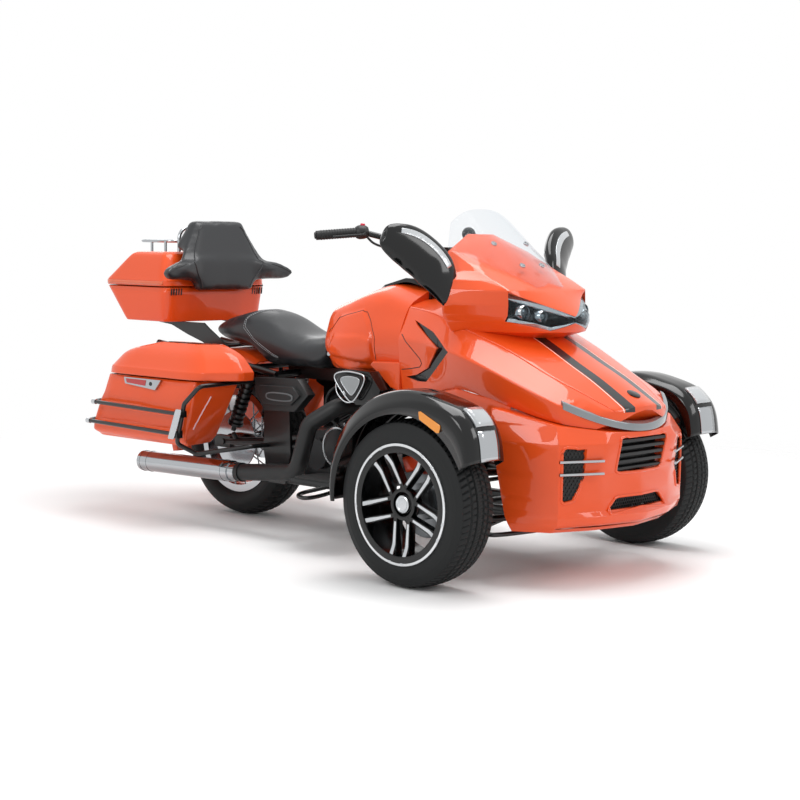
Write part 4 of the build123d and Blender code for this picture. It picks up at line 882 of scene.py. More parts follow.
def depth_inside(points: np.ndarray, outline: list[Pair]) -> np.ndarray:
    """How far points lie inside a polygon: the distance to its nearest edge, negative outside.

    Args:
        points: points as (..., 2).
        outline: the polygon's corners.
    Returns:
        Depths in the polygon's unit.
    """
    a = np.asarray(outline, float)
    b = np.roll(a, -1, axis=0)
    p = points[..., None, :]
    run = b - a
    t = np.clip(((p - a) * run).sum(-1) / (run ** 2).sum(-1), 0, 1)
    away = np.linalg.norm(p - a - t[..., None] * run, axis=-1).min(axis=-1)
    cross = ((a[:, 1] > p[..., 1]) != (b[:, 1] > p[..., 1])) & (
        p[..., 0] < run[:, 0] * (p[..., 1] - a[:, 1]) / np.where(run[:, 1] == 0, 1e-9, run[:, 1]) + a[:, 0])
    return np.where(cross.sum(axis=-1) % 2 == 1, away, -away)


def emboss(grid: np.ndarray, outline: list[Pair], height: float, edge: float, beyond: float = 0.0) -> None:
    """Raises the flanks of a grid inside an outline in (X, Z), by a smooth step at its edge.

    Args:
        grid: points in mm, changed in place.
        outline: the raised region.
        height: how far it is raised away from the middle plane; negative sinks it.
        edge: width of the step.
        beyond: only points farther than this from the middle plane move.
    """
    step = np.clip(depth_inside(grid[..., [0, 2]], outline) / edge, 0, 1)
    step = step * step * (3 - 2 * step)
    grid[..., 1] += np.sign(grid[..., 1]) * height * step * (np.abs(grid[..., 1]) > beyond)


def thicken(thing: Object, wall: float, outward: float = -1.0) -> None:
    """Gives an open surface a wall.

    Args:
        thing: the surface.
        wall: its thickness in mm.
        outward: -1 for a wall inward, +1 for one outward.
    """
    solid = thing.modifiers.new("wall", "SOLIDIFY")
    solid.thickness = wall * MM
    solid.offset = outward


def sheet(name: str, grid: np.ndarray, wall: float, outward: float = -1.0) -> Object:
    """Open surface on a grid of points in mm, made solid with a wall.

    Args:
        name: the object's name.
        grid: points as (rows, columns, 3).
        wall: the wall in mm.
        outward: where the wall lies: -1 inside the grid, 1 outside, 0 both.
    Returns:
        The object.
    """
    thing = surface(name, grid, around=False, caps=False)
    thicken(thing, wall, outward)
    return thing


def settled(thing: Object, sharp: float = 38.0) -> None:
    """Turns an object's modifiers into plain mesh.

    Args:
        thing: the object.
        sharp: angle in degrees over which an edge stays sharp.
    """
    graph = bpy.context.evaluated_depsgraph_get()
    mesh = bpy.data.meshes.new_from_object(thing.evaluated_get(graph))
    thing.modifiers.clear()
    thing.data = mesh
    mesh.shade_smooth()
    mesh.set_sharp_from_angle(angle=radians(sharp))


def cut(thing: Object, tool: Object) -> None:
    """Cuts a solid out of an object.

    Args:
        thing: the object.
        tool: the solid, which is removed.
    """
    knife = thing.modifiers.new("cut", "BOOLEAN")
    knife.operation = "DIFFERENCE"
    knife.solver = "EXACT"
    knife.object = tool
    settled(thing)
    bpy.data.objects.remove(tool)


class Skin:
    """Finds points on an object's surface, to lay seams, stitches and trim on it."""

    def __init__(self, thing: Object) -> None:
        """Reads the object's final mesh."""
        self.tree = BVHTree.FromObject(thing, bpy.context.evaluated_depsgraph_get())

    def near(self, points: np.ndarray, lift: float = 0.0) -> np.ndarray:
        """The surface points nearest to a path, lifted off along the normal.

        Args:
            points: path in mm as (n, 3).
            lift: height over the surface in mm.
        Returns:
            Points in mm as (n, 3).
        """
        found = [self.tree.find_nearest(Vector(p * MM)) for p in points]
        return np.array([(hit + normal * lift * MM) / MM for hit, normal, _, _ in found])

    def flank(self, points: np.ndarray, side: int) -> np.ndarray:
        """Distance of the surface from the middle plane, looking in from one side.

        Args:
            points: places in (X, Z) in mm.
            side: +1 for left, -1 for right.
        Returns:
            Distances in mm.
        """
        start = [Vector((x * MM, side * 0.6, z * MM)) for x, z in points]
        hits = [self.tree.ray_cast(origin, Vector((0, -side, 0)))[0] for origin in start]
        return np.array([abs(hit.y) / MM if hit else 230.0 for hit in hits])

    def along(self, points: list[Point], lift: float = 0.0, spacing: float = 8.0) -> np.ndarray:
        """The surface under straight runs between points, sampled evenly.

        Args:
            points: corners in mm, near the surface.
            lift: height over the surface in mm.
            spacing: distance between samples in mm.
        Returns:
            Points in mm as (n, 3).
        """
        p = np.asarray(points, float)
        run = np.concatenate([[0.0], np.cumsum(np.linalg.norm(np.diff(p, axis=0), axis=1))])
        at = np.linspace(0, run[-1], max(4, int(run[-1] / spacing)))
        return self.near(np.stack([np.interp(at, run, p[:, i]) for i in range(3)], axis=-1), lift)


def boxes(name: str, starts: np.ndarray, ends: np.ndarray, width: float, height: float,
          up: np.ndarray) -> Object:
    """Many small bars as one mesh: each a box from its start to its end.

    Args:
        name: the object's name.
        starts: start points in mm as (n, 3).
        ends: end points in mm as (n, 3).
        width: width of each bar.
        height: height of each bar.
        up: one direction the height follows, or one each.
    Returns:
        The object.
    """
    run = ends - starts
    run /= np.linalg.norm(run, axis=1, keepdims=True)
    across = np.cross(run, np.broadcast_to(up, run.shape))
    across /= np.linalg.norm(across, axis=1, keepdims=True)
    rise = np.cross(across, run)
    corner = np.array([(-1, -1), (1, -1), (1, 1), (-1, 1)]) / 2
    ring = corner[None, :, :1] * width * across[:, None] + corner[None, :, 1:] * height * rise[:, None]
    points = np.stack([starts[:, None] + ring, ends[:, None] + ring], axis=1).reshape(-1, 3)
    unit = np.array([(0, 1, 5, 4), (1, 2, 6, 5), (2, 3, 7, 6), (3, 0, 4, 7), (3, 2, 1, 0), (4, 5, 6, 7)])
    faces = (unit[None] + 8 * np.arange(len(starts))[:, None, None]).reshape(-1, 4)
    return shaped(name, points, faces.tolist(), 30)


def studs(name: str, spots: list[tuple[Point, Point]], radius: float,
          tall: float, hollow: float = 0.0) -> Object:
    """Round bolt heads or rings as one mesh.

    Args:
        name: the object's name.
        spots: (centre, outward direction) of each.
        radius: outer radius.
        tall: height over the surface.
        hollow: inner radius of a ring, or 0 for a full head.
    Returns:
        The object.
    """
    inner = max(hollow, 0.01)
    profile = np.array([(radius, -tall), (radius, tall * 0.55), (radius * 0.86 + inner * 0.14, tall),
                        (inner, tall), (inner, -tall)])
    a = np.linspace(0, 2 * np.pi, 24, endpoint=False)
    points, faces = [], []
    for number, (centre, out) in enumerate(spots):
        out = np.asarray(out, float) / np.linalg.norm(out)
        side = np.cross(out, (0.31, 0.87, 0.38))
        side /= np.linalg.norm(side)
        other = np.cross(out, side)
        ring = np.cos(a)[:, None, None] * side + np.sin(a)[:, None, None] * other
        points.append((np.asarray(centre, float) + profile[None, :, :1] * ring
                       + profile[None, :, 1:] * out).reshape(-1, 3))
        index = np.arange(24 * 5).reshape(24, 5)
        index = np.concatenate([index, index[:1]])
        index = np.concatenate([index, index[:, :1]], axis=1) + 120 * number
        faces += np.stack([index[:-1, :-1], index[:-1, 1:], index[1:, 1:], index[1:, :-1]],
                          axis=-1).reshape(-1, 4).tolist()
    return shaped(name, np.concatenate(points), faces, 40)


def hex_mesh(name: str, outline: list[Pair], pitch: float, strand: float, front: np.ndarray) -> Object:
    """Hexagonal grille mesh over an outline in (Y, Z): a lattice of six-sided rings.

    Args:
        name: the object's name.
        outline: where the mesh lies.
        pitch: distance between cell centres.
        strand: width of the strands.
        front: X of the front face as a line, (X at Y = 0, slope per mm of |Y|).
    Returns:
        The object.
    """
    p = np.asarray(outline, float)
    low, high = p.min(axis=0), p.max(axis=0)
    y, z = np.meshgrid(np.arange(low[0], high[0] + pitch, pitch),
                       np.arange(low[1], high[1] + pitch, pitch * 0.866))
    y = y + (np.arange(len(y)) % 2)[:, None] * pitch / 2
    centre = np.stack([y, z], axis=-1).reshape(-1, 2)
    centre = centre[depth_inside(centre, outline) > -1.0]
    a = np.radians(np.arange(6) * 60 + 30)
    wide = pitch / np.sqrt(3)
    rings = [np.stack([r * np.cos(a), r * np.sin(a)], axis=-1) for r in (wide + strand * 0.2, wide - strand)]
    flat = np.stack([centre[:, None] + ring for ring in rings], axis=1)
    flat = np.stack([flat, flat], axis=1)
    x = front[0] + front[1] * np.abs(flat[..., 0]) + np.array([0.0, 3.0])[None, :, None, None]
    points = np.concatenate([x[..., None], flat], axis=-1).reshape(-1, 3)
    i, j = np.arange(6), (np.arange(6) + 1) % 6
    unit = np.concatenate([np.stack([a0 + i, a0 + j, b0 + j, b0 + i], axis=-1)
                           for a0, b0 in ((12, 18), (6, 0), (0, 12), (18, 6))])
    faces = (unit[None] + 24 * np.arange(len(centre))[:, None, None]).reshape(-1, 4)
    return shaped(name, points, faces.tolist(), 30)


def sweep(path: np.ndarray, angles: np.ndarray, up: Point, grow: float = 0.0) -> np.ndarray:
    """Grid of oval rings along a path: centre + tall sin(a) u + deep cos(a) v, u the part of up square to the path.

    Args:
        path: rows of (x, y, z, tall, deep) in mm.
        angles: angles of the ring's points.
        up: direction the tall axis leans to.
        grow: added to both half sizes.
    Returns:
        Points as (rows, angles, 3).
    """
    run = np.gradient(path[:, :3], axis=0)
    run /= np.linalg.norm(run, axis=1, keepdims=True)
    u = np.asarray(up, float) - (run @ np.asarray(up, float))[:, None] * run
    u /= np.linalg.norm(u, axis=1, keepdims=True)
    v = np.cross(run, u)
    tall, deep = path[:, 3, None, None] + grow, path[:, 4, None, None] + grow
    ring = tall * np.sin(angles)[None, :, None] * u[:, None] + deep * np.cos(angles)[None, :, None] * v[:, None]
    return path[:, None, :3] + ring


@dataclass
class Cushion:
    """Stuffs a closed form the way foam fills a cover, by a short cloth run with pressure inside."""

    # Size of the even faces and the farthest a point may move, in mm, then rounds of smoothing before and after
    voxel: float = 7.0
    cap: float = 9.0
    ease: int = 6
    relax: int = 4
    smoothing: float = 0.5
    pressure: float = 4.0
    tension: float = 25.0
    bending: float = 2.0
    quality: int = 5
    last_frame: int = 20
    fill: float = 0.8

    def puff(self, thing: Object) -> Object:
        """Evens the mesh, rounds it, blows it up and keeps the shape it takes.

        Args:
            thing: the closed form.
        Returns:
            The same object with its new mesh.
        """
        even = thing.modifiers.new("even_faces", "REMESH")
        even.mode = "VOXEL"
        even.voxel_size = self.voxel * MM
        self.smooth(thing, "eased_corners", self.ease)
        settled(thing, 180)
        flat = np.empty(len(thing.data.vertices) * 3, np.float32)
        thing.data.vertices.foreach_get("co", flat)
        full = self.blown(thing, flat)
        move = (full - flat).reshape(-1, 3)
        far = np.linalg.norm(move, axis=1, keepdims=True)
        move *= np.minimum(1.0, self.cap * MM / np.maximum(far, 1e-9))
        thing.data.vertices.foreach_set("co", (flat.reshape(-1, 3) + move).ravel().astype(np.float32))
        self.smooth(thing, "relaxed_cover", self.relax)
        finer = thing.modifiers.new("finer", "SUBSURF")
        finer.levels = finer.render_levels = 1
        settled(thing, 180)
        return thing

    def smooth(self, thing: Object, name: str, rounds: int) -> None:
        """Adds a smoothing modifier.

        Args:
            thing: the object.
            name: the modifier's name.
            rounds: how often it smooths.
        """
        soft = thing.modifiers.new(name, "SMOOTH")
        soft.factor = self.smoothing
        soft.iterations = rounds

    def blown(self, thing: Object, flat: np.ndarray) -> np.ndarray:
        """Runs the cloth with pressure inside and no gravity.

        Args:
            thing: the even mesh.
            flat: its coordinates at rest.
        Returns:
            Its coordinates at the last frame, in the same order.
        """
        cloth = thing.modifiers.new("stuffing", "CLOTH")
        cloth.settings.use_pressure = True
        cloth.settings.uniform_pressure_force = self.pressure
        cloth.settings.effector_weights.gravity = 0
        cloth.settings.quality = self.quality
        cloth.settings.tension_stiffness = self.tension
        cloth.settings.bending_stiffness = self.bending
        cloth.point_cache.frame_start = 1
        cloth.point_cache.frame_end = self.last_frame
        scene = bpy.context.scene
        for frame_number in range(1, self.last_frame + 1):
            scene.frame_set(frame_number)
        mesh = thing.evaluated_get(bpy.context.evaluated_depsgraph_get()).to_mesh()
        full = np.empty_like(flat)
        mesh.vertices.foreach_get("co", full)
        thing.modifiers.clear()
        scene.frame_set(1)
        return full


@dataclass
class Seat:
    """Two-up seat: a stuffed cover with a double stitched seam round the back of the rider's part."""

    # X, half width, bottom Z, top Z
    stations: Table = (
        (-122, 112, 694, 768), (-126, 122, 684, 779), (-175, 136, 646, 769), (-240, 146, 645, 761),
        (-300, 152, 645, 767),
        (-370, 156, 645, 790), (-464, 154, 648, 832), (-540, 150, 690, 849), (-600, 147, 712, 848),
        (-680, 138, 724, 830),
        (-736, 126, 734, 816), (-790, 106, 746, 796), (-810, 84, 756, 780),
    )
    # Exponents of the cover's rounded section, above and below its widest line
    dome: float = 2.15
    base: float = 3.6
    stitch_line: Route = (
        (-372, 158, 664), (-432, 158, 700), (-515, 156, 740), (-574, 152, 790), (-580, 140, 826),
        (-560, 80, 848), (-552, 0, 850),
    )
    dash: float = 6.0
    gap: float = 3.5
    section_steps: int = 7
    section_points: int = 64
    # How far the second row of stitches and the seam lie behind the first, in X and Z
    second_row: Pair = (8.0, 5.0)
    seam_shift: Pair = (4.0, 2.5)
    seam_radius: float = 1.6

    def build(self) -> None:
        """Builds the cushion, each section a rounded box (cos a)^(2/n), (sin a)^(2/n), then sews it."""
        rows = glide(np.array(self.stations, float), self.section_steps)
        a = np.linspace(0, 2 * np.pi, self.section_points, endpoint=False)[None]
        power = 2 / np.where(np.sin(a) > 0, self.dome, self.base)
        x, wide, low, high = (rows[:, i, None] for i in range(4))
        y = wide * np.sign(np.cos(a)) * np.abs(np.cos(a)) ** power
        z = (low + high) / 2 + (high - low) / 2 * np.sign(np.sin(a)) * np.abs(np.sin(a)) ** power
        cover = surface("seat_cover", np.stack([np.broadcast_to(x, y.shape), y, z], axis=-1))
        Cushion(voxel=7.0, ease=4, cap=6.0).puff(cover)
        place(cover, "chassis", SEAT_VINYL, "black_leather", ("seat",))
        skin = Skin(cover)
        line = list(self.stitch_line) + [(x, -y, z) for x, y, z in self.stitch_line[-2::-1]]
        for number, (back, down) in enumerate(((0.0, 0.0), self.second_row)):
            path = skin.along([(x - back, y, z - down) for x, y, z in line], 0.4, 2.0)
            sew(f"seat_stitches_{number}", path, self.dash, self.gap)
        back, down = self.seam_shift
        crease = skin.along([(x - back, y, z - down) for x, y, z in line], -0.2, 5.0)
        place(tube("seat_seam", crease, self.seam_radius, 8), "chassis", GRIP_RUBBER, "black_leather")


def sew(name: str, path: np.ndarray, dash: float, gap: float, body: str = "chassis") -> None:
    """Stitches along a path as one mesh of short thread bars.

    Args:
        name: the object's name.
        path: points on the cover in mm.
        dash: length of a stitch.
        gap: space between stitches.
        body: the body it rides on.
    """
    run = np.concatenate([[0.0], np.cumsum(np.linalg.norm(np.diff(path, axis=0), axis=1))])
    start = np.arange(0, run[-1] - dash, dash + gap)
    ends = [np.stack([np.interp(at, run, path[:, i]) for i in range(3)], axis=-1)
            for at in (start, start + dash)]
    thread = boxes(name, ends[0], ends[1], 1.5, 1.5, np.array([0.3, 0.5, 0.8]))
    place(thread, body, THREAD, "black_leather")


@dataclass
class Backrest:
    """Passenger backrest: a stuffed pad with side wings, piping round its middle and a seam on each wing."""

    # (Y, Z) of the piping and (X, Y, Z) of the wing's seam, on the left, and an X ahead of the pad
    piping: Outline = (
        (112, 1216), (142, 1196), (166, 1150), (184, 1098), (192, 1050), (168, 1000), (146, 962), (136, 926),
    )
    wing: Route = ((-800, 236, 1060), (-790, 290, 1030), (-782, 330, 1004))
    front_x: float = -820
    piping_radius: float = 3.0
    seam_radius: float = 1.6
    stuffing: Cushion = field(default_factory=lambda: Cushion(voxel=7.0, ease=26, cap=12.0, relax=16))

    def build(self) -> None:
        """Builds the pad from the frame's form, then lays the piping and the seams."""
        pad = bpy.data.objects.new("backrest_pad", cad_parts["backrest"].data.copy())
        bpy.context.scene.collection.objects.link(pad)
        self.stuffing.puff(pad)
        place(pad, "case_lid_set", SEAT_VINYL, "black_leather", ("backrest",))
        skin = Skin(pad)
        for name, side in SIDES:
            path = skin.along([(self.front_x, side * y, z) for y, z in self.piping], 0.3, 6.0)
            piping = tube(f"backrest_piping_{name}", path, self.piping_radius, 8)
            place(piping, "case_lid_set", SEAT_VINYL, "black_leather")
            path = skin.along([(x, side * y, z) for x, y, z in self.wing], 0.2, 6.0)
            seam = tube(f"backrest_wing_seam_{name}", path, self.seam_radius, 8)
            place(seam, "case_lid_set", GRIP_RUBBER, "black_leather")


@dataclass
class Fender:
    """One cycle fender: a rolled shell over the tyre, its clear lamp and its amber marker."""

    name: str
    side: int
    half: float = 92
    crown_half: float = 58
    # Angle up from straight ahead, then the radius of the edge, the shoulder and the crown
    stations: Table = (
        (28, 300, 340, 352), (48, 300, 384, 402), (72, 300, 358, 382), (100, 299, 330, 376),
        (135, 298, 325, 374), (162, 298, 325, 364), (184, 298, 316, 344),
    )
    crown_rise: float = 3
    edge_ease: float = 0.3
    edge_steps: int = 7
    section_steps: int = 10
    wall: float = 4
    # The lens and its shroud: angles from and to, and height over the shell; then how far across the crown they reach
    lens: Point = (42, 57, 8)
    shroud: Point = (28, 42, 4)
    lamp_across: Pair = (-48, 44)
    # Amber marker: corners in (X, Z), how far in from the shell's edge it starts, and its thickness
    marker: Outline = (
        (912, 596), (922, 598), (1006, 560), (1008, 552), (1002, 534), (992, 533), (916, 571))
    marker_sunk: float = 2
    marker_thick: float = 4

    def point(self, angle: np.ndarray, across: np.ndarray, radius: np.ndarray) -> np.ndarray:
        """Points on the fender.

        Args:
            angle: angles about the axle.
            across: offsets across the wheel in mm, outward positive.
            radius: distances from the axle in mm.
        Returns:
            Points as (..., 3).
        """
        a = np.radians(angle)
        return np.stack([FRONT_AXLE[0] + radius * np.cos(a), self.side * (FRONT_AXLE[1] + across),
                         FRONT_AXLE[2] + radius * np.sin(a)], axis=-1)

    def grid(self) -> np.ndarray:
        """The whole shell, its sections rounded at the shoulders.

        Returns:
            (angle, radius, across) as (rows, columns, 3).
        """
        rows = []
        for angle, edge, shoulder, crown in self.stations:
            half = [(edge, self.half), (shoulder, self.half), (crown, self.crown_half),
                    (crown + self.crown_rise, 0)]
            outline = np.array(half + [(r, -o) for r, o in half[-2::-1]], float)
            section = np.insert(outline, 0, angle, axis=1)
            rows.append(eased(section, self.edge_ease, self.edge_steps))
        return glide(np.stack(rows), self.section_steps)

    def build(self) -> None:
        """Builds the shell, the lamp, its chrome shroud and the marker."""
        body = f"knuckle_{self.name}_set"
        grid = self.grid()
        shell = sheet(f"fender_shell_{self.name}", self.point(grid[..., 0], grid[..., 2], grid[..., 1]),
                      self.wall)
        place(shell, body, GLOSS_ABS, "black_gloss", (f"fender_{self.name}",))
        near, far = self.lamp_across
        columns = (grid[0, :, 2] > near) & (grid[0, :, 2] <= far)
        for piece, (low, high, lift), finish, stands in (
            ("lamp_lens", self.lens, LAMP_LENS, (f"fender_lamp_{self.name}",)),
            ("lamp_shroud", self.shroud, CHROME_PLATE, ()),
        ):
            rows = (grid[:, 0, 0] >= low) & (grid[:, 0, 0] <= high)
            angle, radius, across = np.moveaxis(grid[rows][:, columns], -1, 0)
            lens = sheet(f"fender_{piece}_{self.name}", self.point(angle, across, radius + lift), lift + 1.0)
            place(lens, body, finish, "lamp_clear", stands)
        y = self.side * (FRONT_AXLE[1] + self.half - self.marker_sunk)
        amber = plate(f"amber_marker_{self.name}", list(self.marker), "Y", y, y + self.side * self.marker_thick,
                      1.4)
        place(amber, body, AMBER_ACRYLIC, "lamp_red")


@dataclass
class Tyre:
    """One tyre, its tread cut by grooves: the radius drops where a pattern across and round the tread is high."""

    # The CAD node it replaces, its body, its centre and the sign of its outer side
    node: str
    body: str
    centre: Point
    side: int
    # Radii of the bead, the rim's lip and the tread, half widths, and how far the tread drops at its shoulders
    bead: float
    lip: float
    radius: float
    seat_half: float
    wide_half: float
    tread_half: float
    drop: float
    # Offsets of the grooves that run round the tread, their half width and depth
    grooves: tuple[float, ...] = (-40, -14, 14, 40)
    groove_half: float = 3.4
    groove_depth: float = 6.0
    # Blocks round the tread, points on each, and how far a slot turns for each mm across
    blocks: int = 78
    block_steps: int = 8
    slant: float = 0.10
    wall_points: int = 20
    tread_points: int = 45
    # Raised lines on the side: share of the way up, half width of that share, and height
    ribs: Route = ((0.62, 0.03, 0.8), (0.16, 0.05, 0.8))

    def build(self) -> None:
        """Builds the carcass with its tread and side ribs.

        A groove is exp(-((o - at) / half)^4) deep at the offset o. A slot is the part of a cosine round the tread over
        a limit, clipped to 1, with narrower ones between the inner grooves.
        """
        lip, shoulder = self.lip, self.radius - self.drop
        t = np.linspace(0, 1, self.wall_points)
        bulge = np.sin(np.pi * t) ** 0.8
        wall_r = lip + (shoulder - lip) * t
        wall_o = (self.seat_half + 1) * (1 - t) + (self.tread_half + 4) * t
        wall_o = wall_o + (self.wide_half - np.maximum(wall_o, self.seat_half)) * bulge
        wall_o += sum(height * (np.abs(t - at) < half) for at, half, height in self.ribs)
        o_top = np.linspace(self.tread_half, -self.tread_half, self.tread_points)
        r_top = self.radius - (self.drop - 2) * np.abs(o_top / self.tread_half) ** 2.4
        o = np.concatenate([[self.seat_half - 0.4], wall_o, o_top, -wall_o[::-1], [-self.seat_half + 0.4]])
        r = np.concatenate([[self.bead], wall_r, r_top, wall_r[::-1], [self.bead]])
        a = np.linspace(0, 2 * np.pi, self.blocks * self.block_steps, endpoint=False)[:, None]
        straight = sum(np.exp(-((o - at) / self.groove_half) ** 4) for at in self.grooves)
        tread = np.abs(o) <= self.tread_half
        slant = self.blocks * a + np.abs(o) * self.slant
        edge = abs(self.grooves[0]) * 0.42
        sipe = np.clip(1.7 * np.cos(slant) - 0.75, 0, 1) * (np.abs(o) > edge)
        fine = np.clip(1.7 * np.cos(slant * 2 + o * 0.2) - 1.0, 0, 1) * (np.abs(o) <= edge) * 0.6
        cut_depth = np.maximum(np.broadcast_to(straight, sipe.shape), np.maximum(sipe, fine)) * tread
        radius = r - self.groove_depth * cut_depth
        grid = np.stack([radius * np.cos(a), np.broadcast_to(self.side * o, radius.shape), radius * np.sin(a)],
                        axis=-1)
        thing = surface(f"treaded_{self.node}", grid + np.array(self.centre), around=True, along=True,
                        caps=False, sharp=50)
        place(thing, self.body, TREAD_RUBBER, "tyre", (self.node,))


@dataclass
class Mirrors:
    """Mirror pods on broad stalks that rise from the fairing's rear notch, each with a lamp strip and its glass."""

    # X, distance from the middle, Z, half width of the blade, half depth
    stations: Table = (
        (553, 524, 1161, 14, 8), (555, 514, 1157, 42, 19), (566, 466, 1142, 66, 29), (584, 411, 1118, 80, 34),
        (610, 362, 1078, 82, 33), (636, 336, 1034, 78, 28), (652, 316, 988, 60, 22), (660, 304, 950, 42, 16),
        (662, 298, 926, 26, 10),
    )
    lean: Point = (0.10, 0.70, 0.70)
    section_steps: int = 8
    section_points: int = 40
    # Rows of the pod under the strip and the glass, their angles from the pod's front and back, lift and wall
    strip_rows: tuple[int, int] = (15, 42)
    strip_angles: tuple[float, float, int] = (0.42, 0.78, 9)
    strip_lift: float = 1.0
    strip_wall: float = 2.0
    glass_rows: tuple[int, int] = (14, 34)
    glass_angles: tuple[float, float, int] = (-0.62, 0.62, 13)
    glass_lift: float = 0.8
    glass_wall: float = 1.4

    def build(self) -> None:
        """Builds both pods and their strips and glasses."""
        for number, (name, side) in enumerate(SIDES):
            stations = np.array(self.stations, float) * [1, side, 1, 1, 1]
            path = glide(stations, self.section_steps)
            lean = (self.lean[0], -side * self.lean[1], self.lean[2])
            a = np.linspace(0, 2 * np.pi, self.section_points, endpoint=False)
            pod = surface(f"mirror_pod_{name}", sweep(path, a, lean), sharp=60)
            place(pod, "chassis", GLOSS_ABS, "black_gloss", ("mirrors",) if number == 0 else ())
            front = np.pi if side > 0 else 0.0
            angles = front - side * np.linspace(*self.strip_angles)
            grid = sweep(path[slice(*self.strip_rows)], angles, lean, self.strip_lift)
            strip = sheet(f"mirror_strip_{name}", grid, self.strip_wall, 0.0)
            place(strip, "chassis", LAMP_LENS, "lamp_clear")
            angles = front + np.pi + np.linspace(*self.glass_angles)
            grid = sweep(path[slice(*self.glass_rows)], angles, lean, self.glass_lift)
            glass = sheet(f"mirror_glass_{name}", grid, self.glass_wall, 0.0)
            place(glass, "chassis", CHROME_PLATE, "chrome")


@dataclass
class Headlights:
    """Twin lamps across the nose of the fairing: black bowl, projectors, chrome brow and clear cover."""

    # Z, corner X, corner half width, nose X of the fairing's plan arcs
    arcs: Table = (
        (834, 830, 205, 980), (868, 850, 218, 990), (892, 862, 219, 985), (927, 864, 219, 946),
        (978, 830, 219, 888),
    )
    low: Outline = ((0, 866), (100, 841), (219, 872))
    high: Outline = ((0, 889), (219, 974))
    back_x: float = 838
    half: float = 216
    columns: int = 73
    rows: int = 13
    # Brow and sill: share of the opening's height from and to, and depth; both lie this far behind the nose
    brow: Point = (0.80, 1.0, 14.0)
    sill: Point = (0.0, 0.12, 10.0)
    trim_back: float = 2.6
    # Y, Z and radius of each projector, how far behind the nose its middle lies, and points round it
    projectors: Route = ((168, 903, 22), (118, 889, 18))
    projector_back: float = 34
    projector_points: int = 36

    def front(self, y: np.ndarray, z: np.ndarray) -> np.ndarray:
        """X of the fairing's nose: the plan arc whose corner and tip are read between the table's rows.

        Args:
            y: distances from the middle plane in mm.
            z: heights in mm.
        Returns:
            X in mm, in the same shape.
        """
        table = np.array(self.arcs)
        corner_x, corner_y, nose = (np.interp(z, table[:, 0], table[:, i]) for i in (1, 2, 3))
        rise = nose - corner_x
        radius = (rise ** 2 + corner_y ** 2) / (2 * rise)
        return nose - radius + np.sqrt(np.maximum(radius ** 2 - y ** 2, 0))

    def band(self, low_part: float, high_part: float, back: float, reach: float) -> np.ndarray:
        """Grid on the nose between two shares of the opening's height, as far as a half width.

        Args:
            low_part: share of the height where it starts.
            high_part: share of the height where it ends.
            back: how far it is set back.
            reach: half its width.
        Returns:
            Points as (rows, columns, 3).
        """
        y = np.linspace(-reach, reach, self.columns)[None]
        bottom = np.interp(np.abs(y), *np.array(self.low).T)
        top = np.interp(np.abs(y), *np.array(self.high).T)
        t = np.linspace(low_part, high_part, self.rows)[:, None]
        z = bottom * (1 - t) + top * t
        y = np.broadcast_to(y, z.shape)
        return np.stack([self.front(y, z) - back, y, z], axis=-1)

    def build(self) -> None:
        """Builds the bowl, the lamps, the brow and the cover."""
        cover = sheet("headlight_cover", self.band(0.0, 1.0, 0.5, self.half + 2), 2.0)
        place(cover, "chassis", PAINT.glass("lamp_cover_polycarbonate", "#F2F6F8"), "lamp_clear",
              ("headlights",))
        self.bowl()
        for piece, (low, high, deep) in (("brow", self.brow), ("sill", self.sill)):
            trim = sheet(f"headlight_{piece}", self.band(low, high, self.trim_back, self.half), deep)
            place(trim, "chassis", CHROME_PLATE, "chrome")
        for name, side in SIDES:
            for number, (y, z, radius) in enumerate(self.projectors):
                centre = (float(self.front(np.array(float(y)), np.array(float(z)))) - self.projector_back,
                          side * y, z)
                self.projector(f"{name}_{number}", centre, radius)

    def bowl(self) -> None:
        """Black bowl round the opening and the wall behind it."""
        face = self.band(0.0, 1.0, 3.0, self.half + 1)
        rim = np.concatenate([face[0], face[1:-1, -1], face[-1, ::-1], face[-2:0:-1, 0]])
        inner = rim * [1, 0.985, 1]
        deep = inner.copy()
        deep[:, 0] = self.back_x
        bowl = surface("headlight_bowl", np.stack([inner, (inner * 2 + deep) / 3, deep]), caps=False)
        thicken(bowl, 1.2)
        place(bowl, "chassis", GLOSS_ABS, "black_gloss")
        wall = self.band(0.0, 1.0, 0.0, self.half)
        wall[..., 0] = self.back_x + 1
        back = surface("headlight_back", wall, around=False, caps=False)
        place(back, "chassis", GLOSS_ABS, "black_gloss")

    def projector(self, name: str, centre: Point, radius: float) -> None:
        """One projector: a bright bezel and a domed lens, both turned about the X axis.

        Args:
            name: end of its pieces' names.
            centre: its middle in mm.
            radius: radius of the lens in mm.
        """
        bezel = ((radius + 5, -12), (radius + 5, 14), (radius + 2, 18), (radius, 12), (radius, -12))
        dome = ((0.05, 15), (radius * 0.45, 13.5), (radius * 0.8, 8), (radius + 0.4, -2), (radius + 0.4, -10),
                (0.05, -10))
        a = np.linspace(0, 2 * np.pi, self.projector_points, endpoint=False)[:, None]
        for part, profile, finish in (("bezel", bezel, CHROME_PLATE), ("lens", dome, BRIGHT_LENS)):
            r, ahead = np.array(profile, float).T
            ring = np.stack([np.broadcast_to(ahead, (len(a), len(r))), r * np.cos(a), r * np.sin(a)], axis=-1)
            lamp = surface(f"projector_{part}_{name}", ring + np.array(centre), around=True, along=True,
                           caps=False)
            place(lamp, "chassis", finish, "lamp_clear")


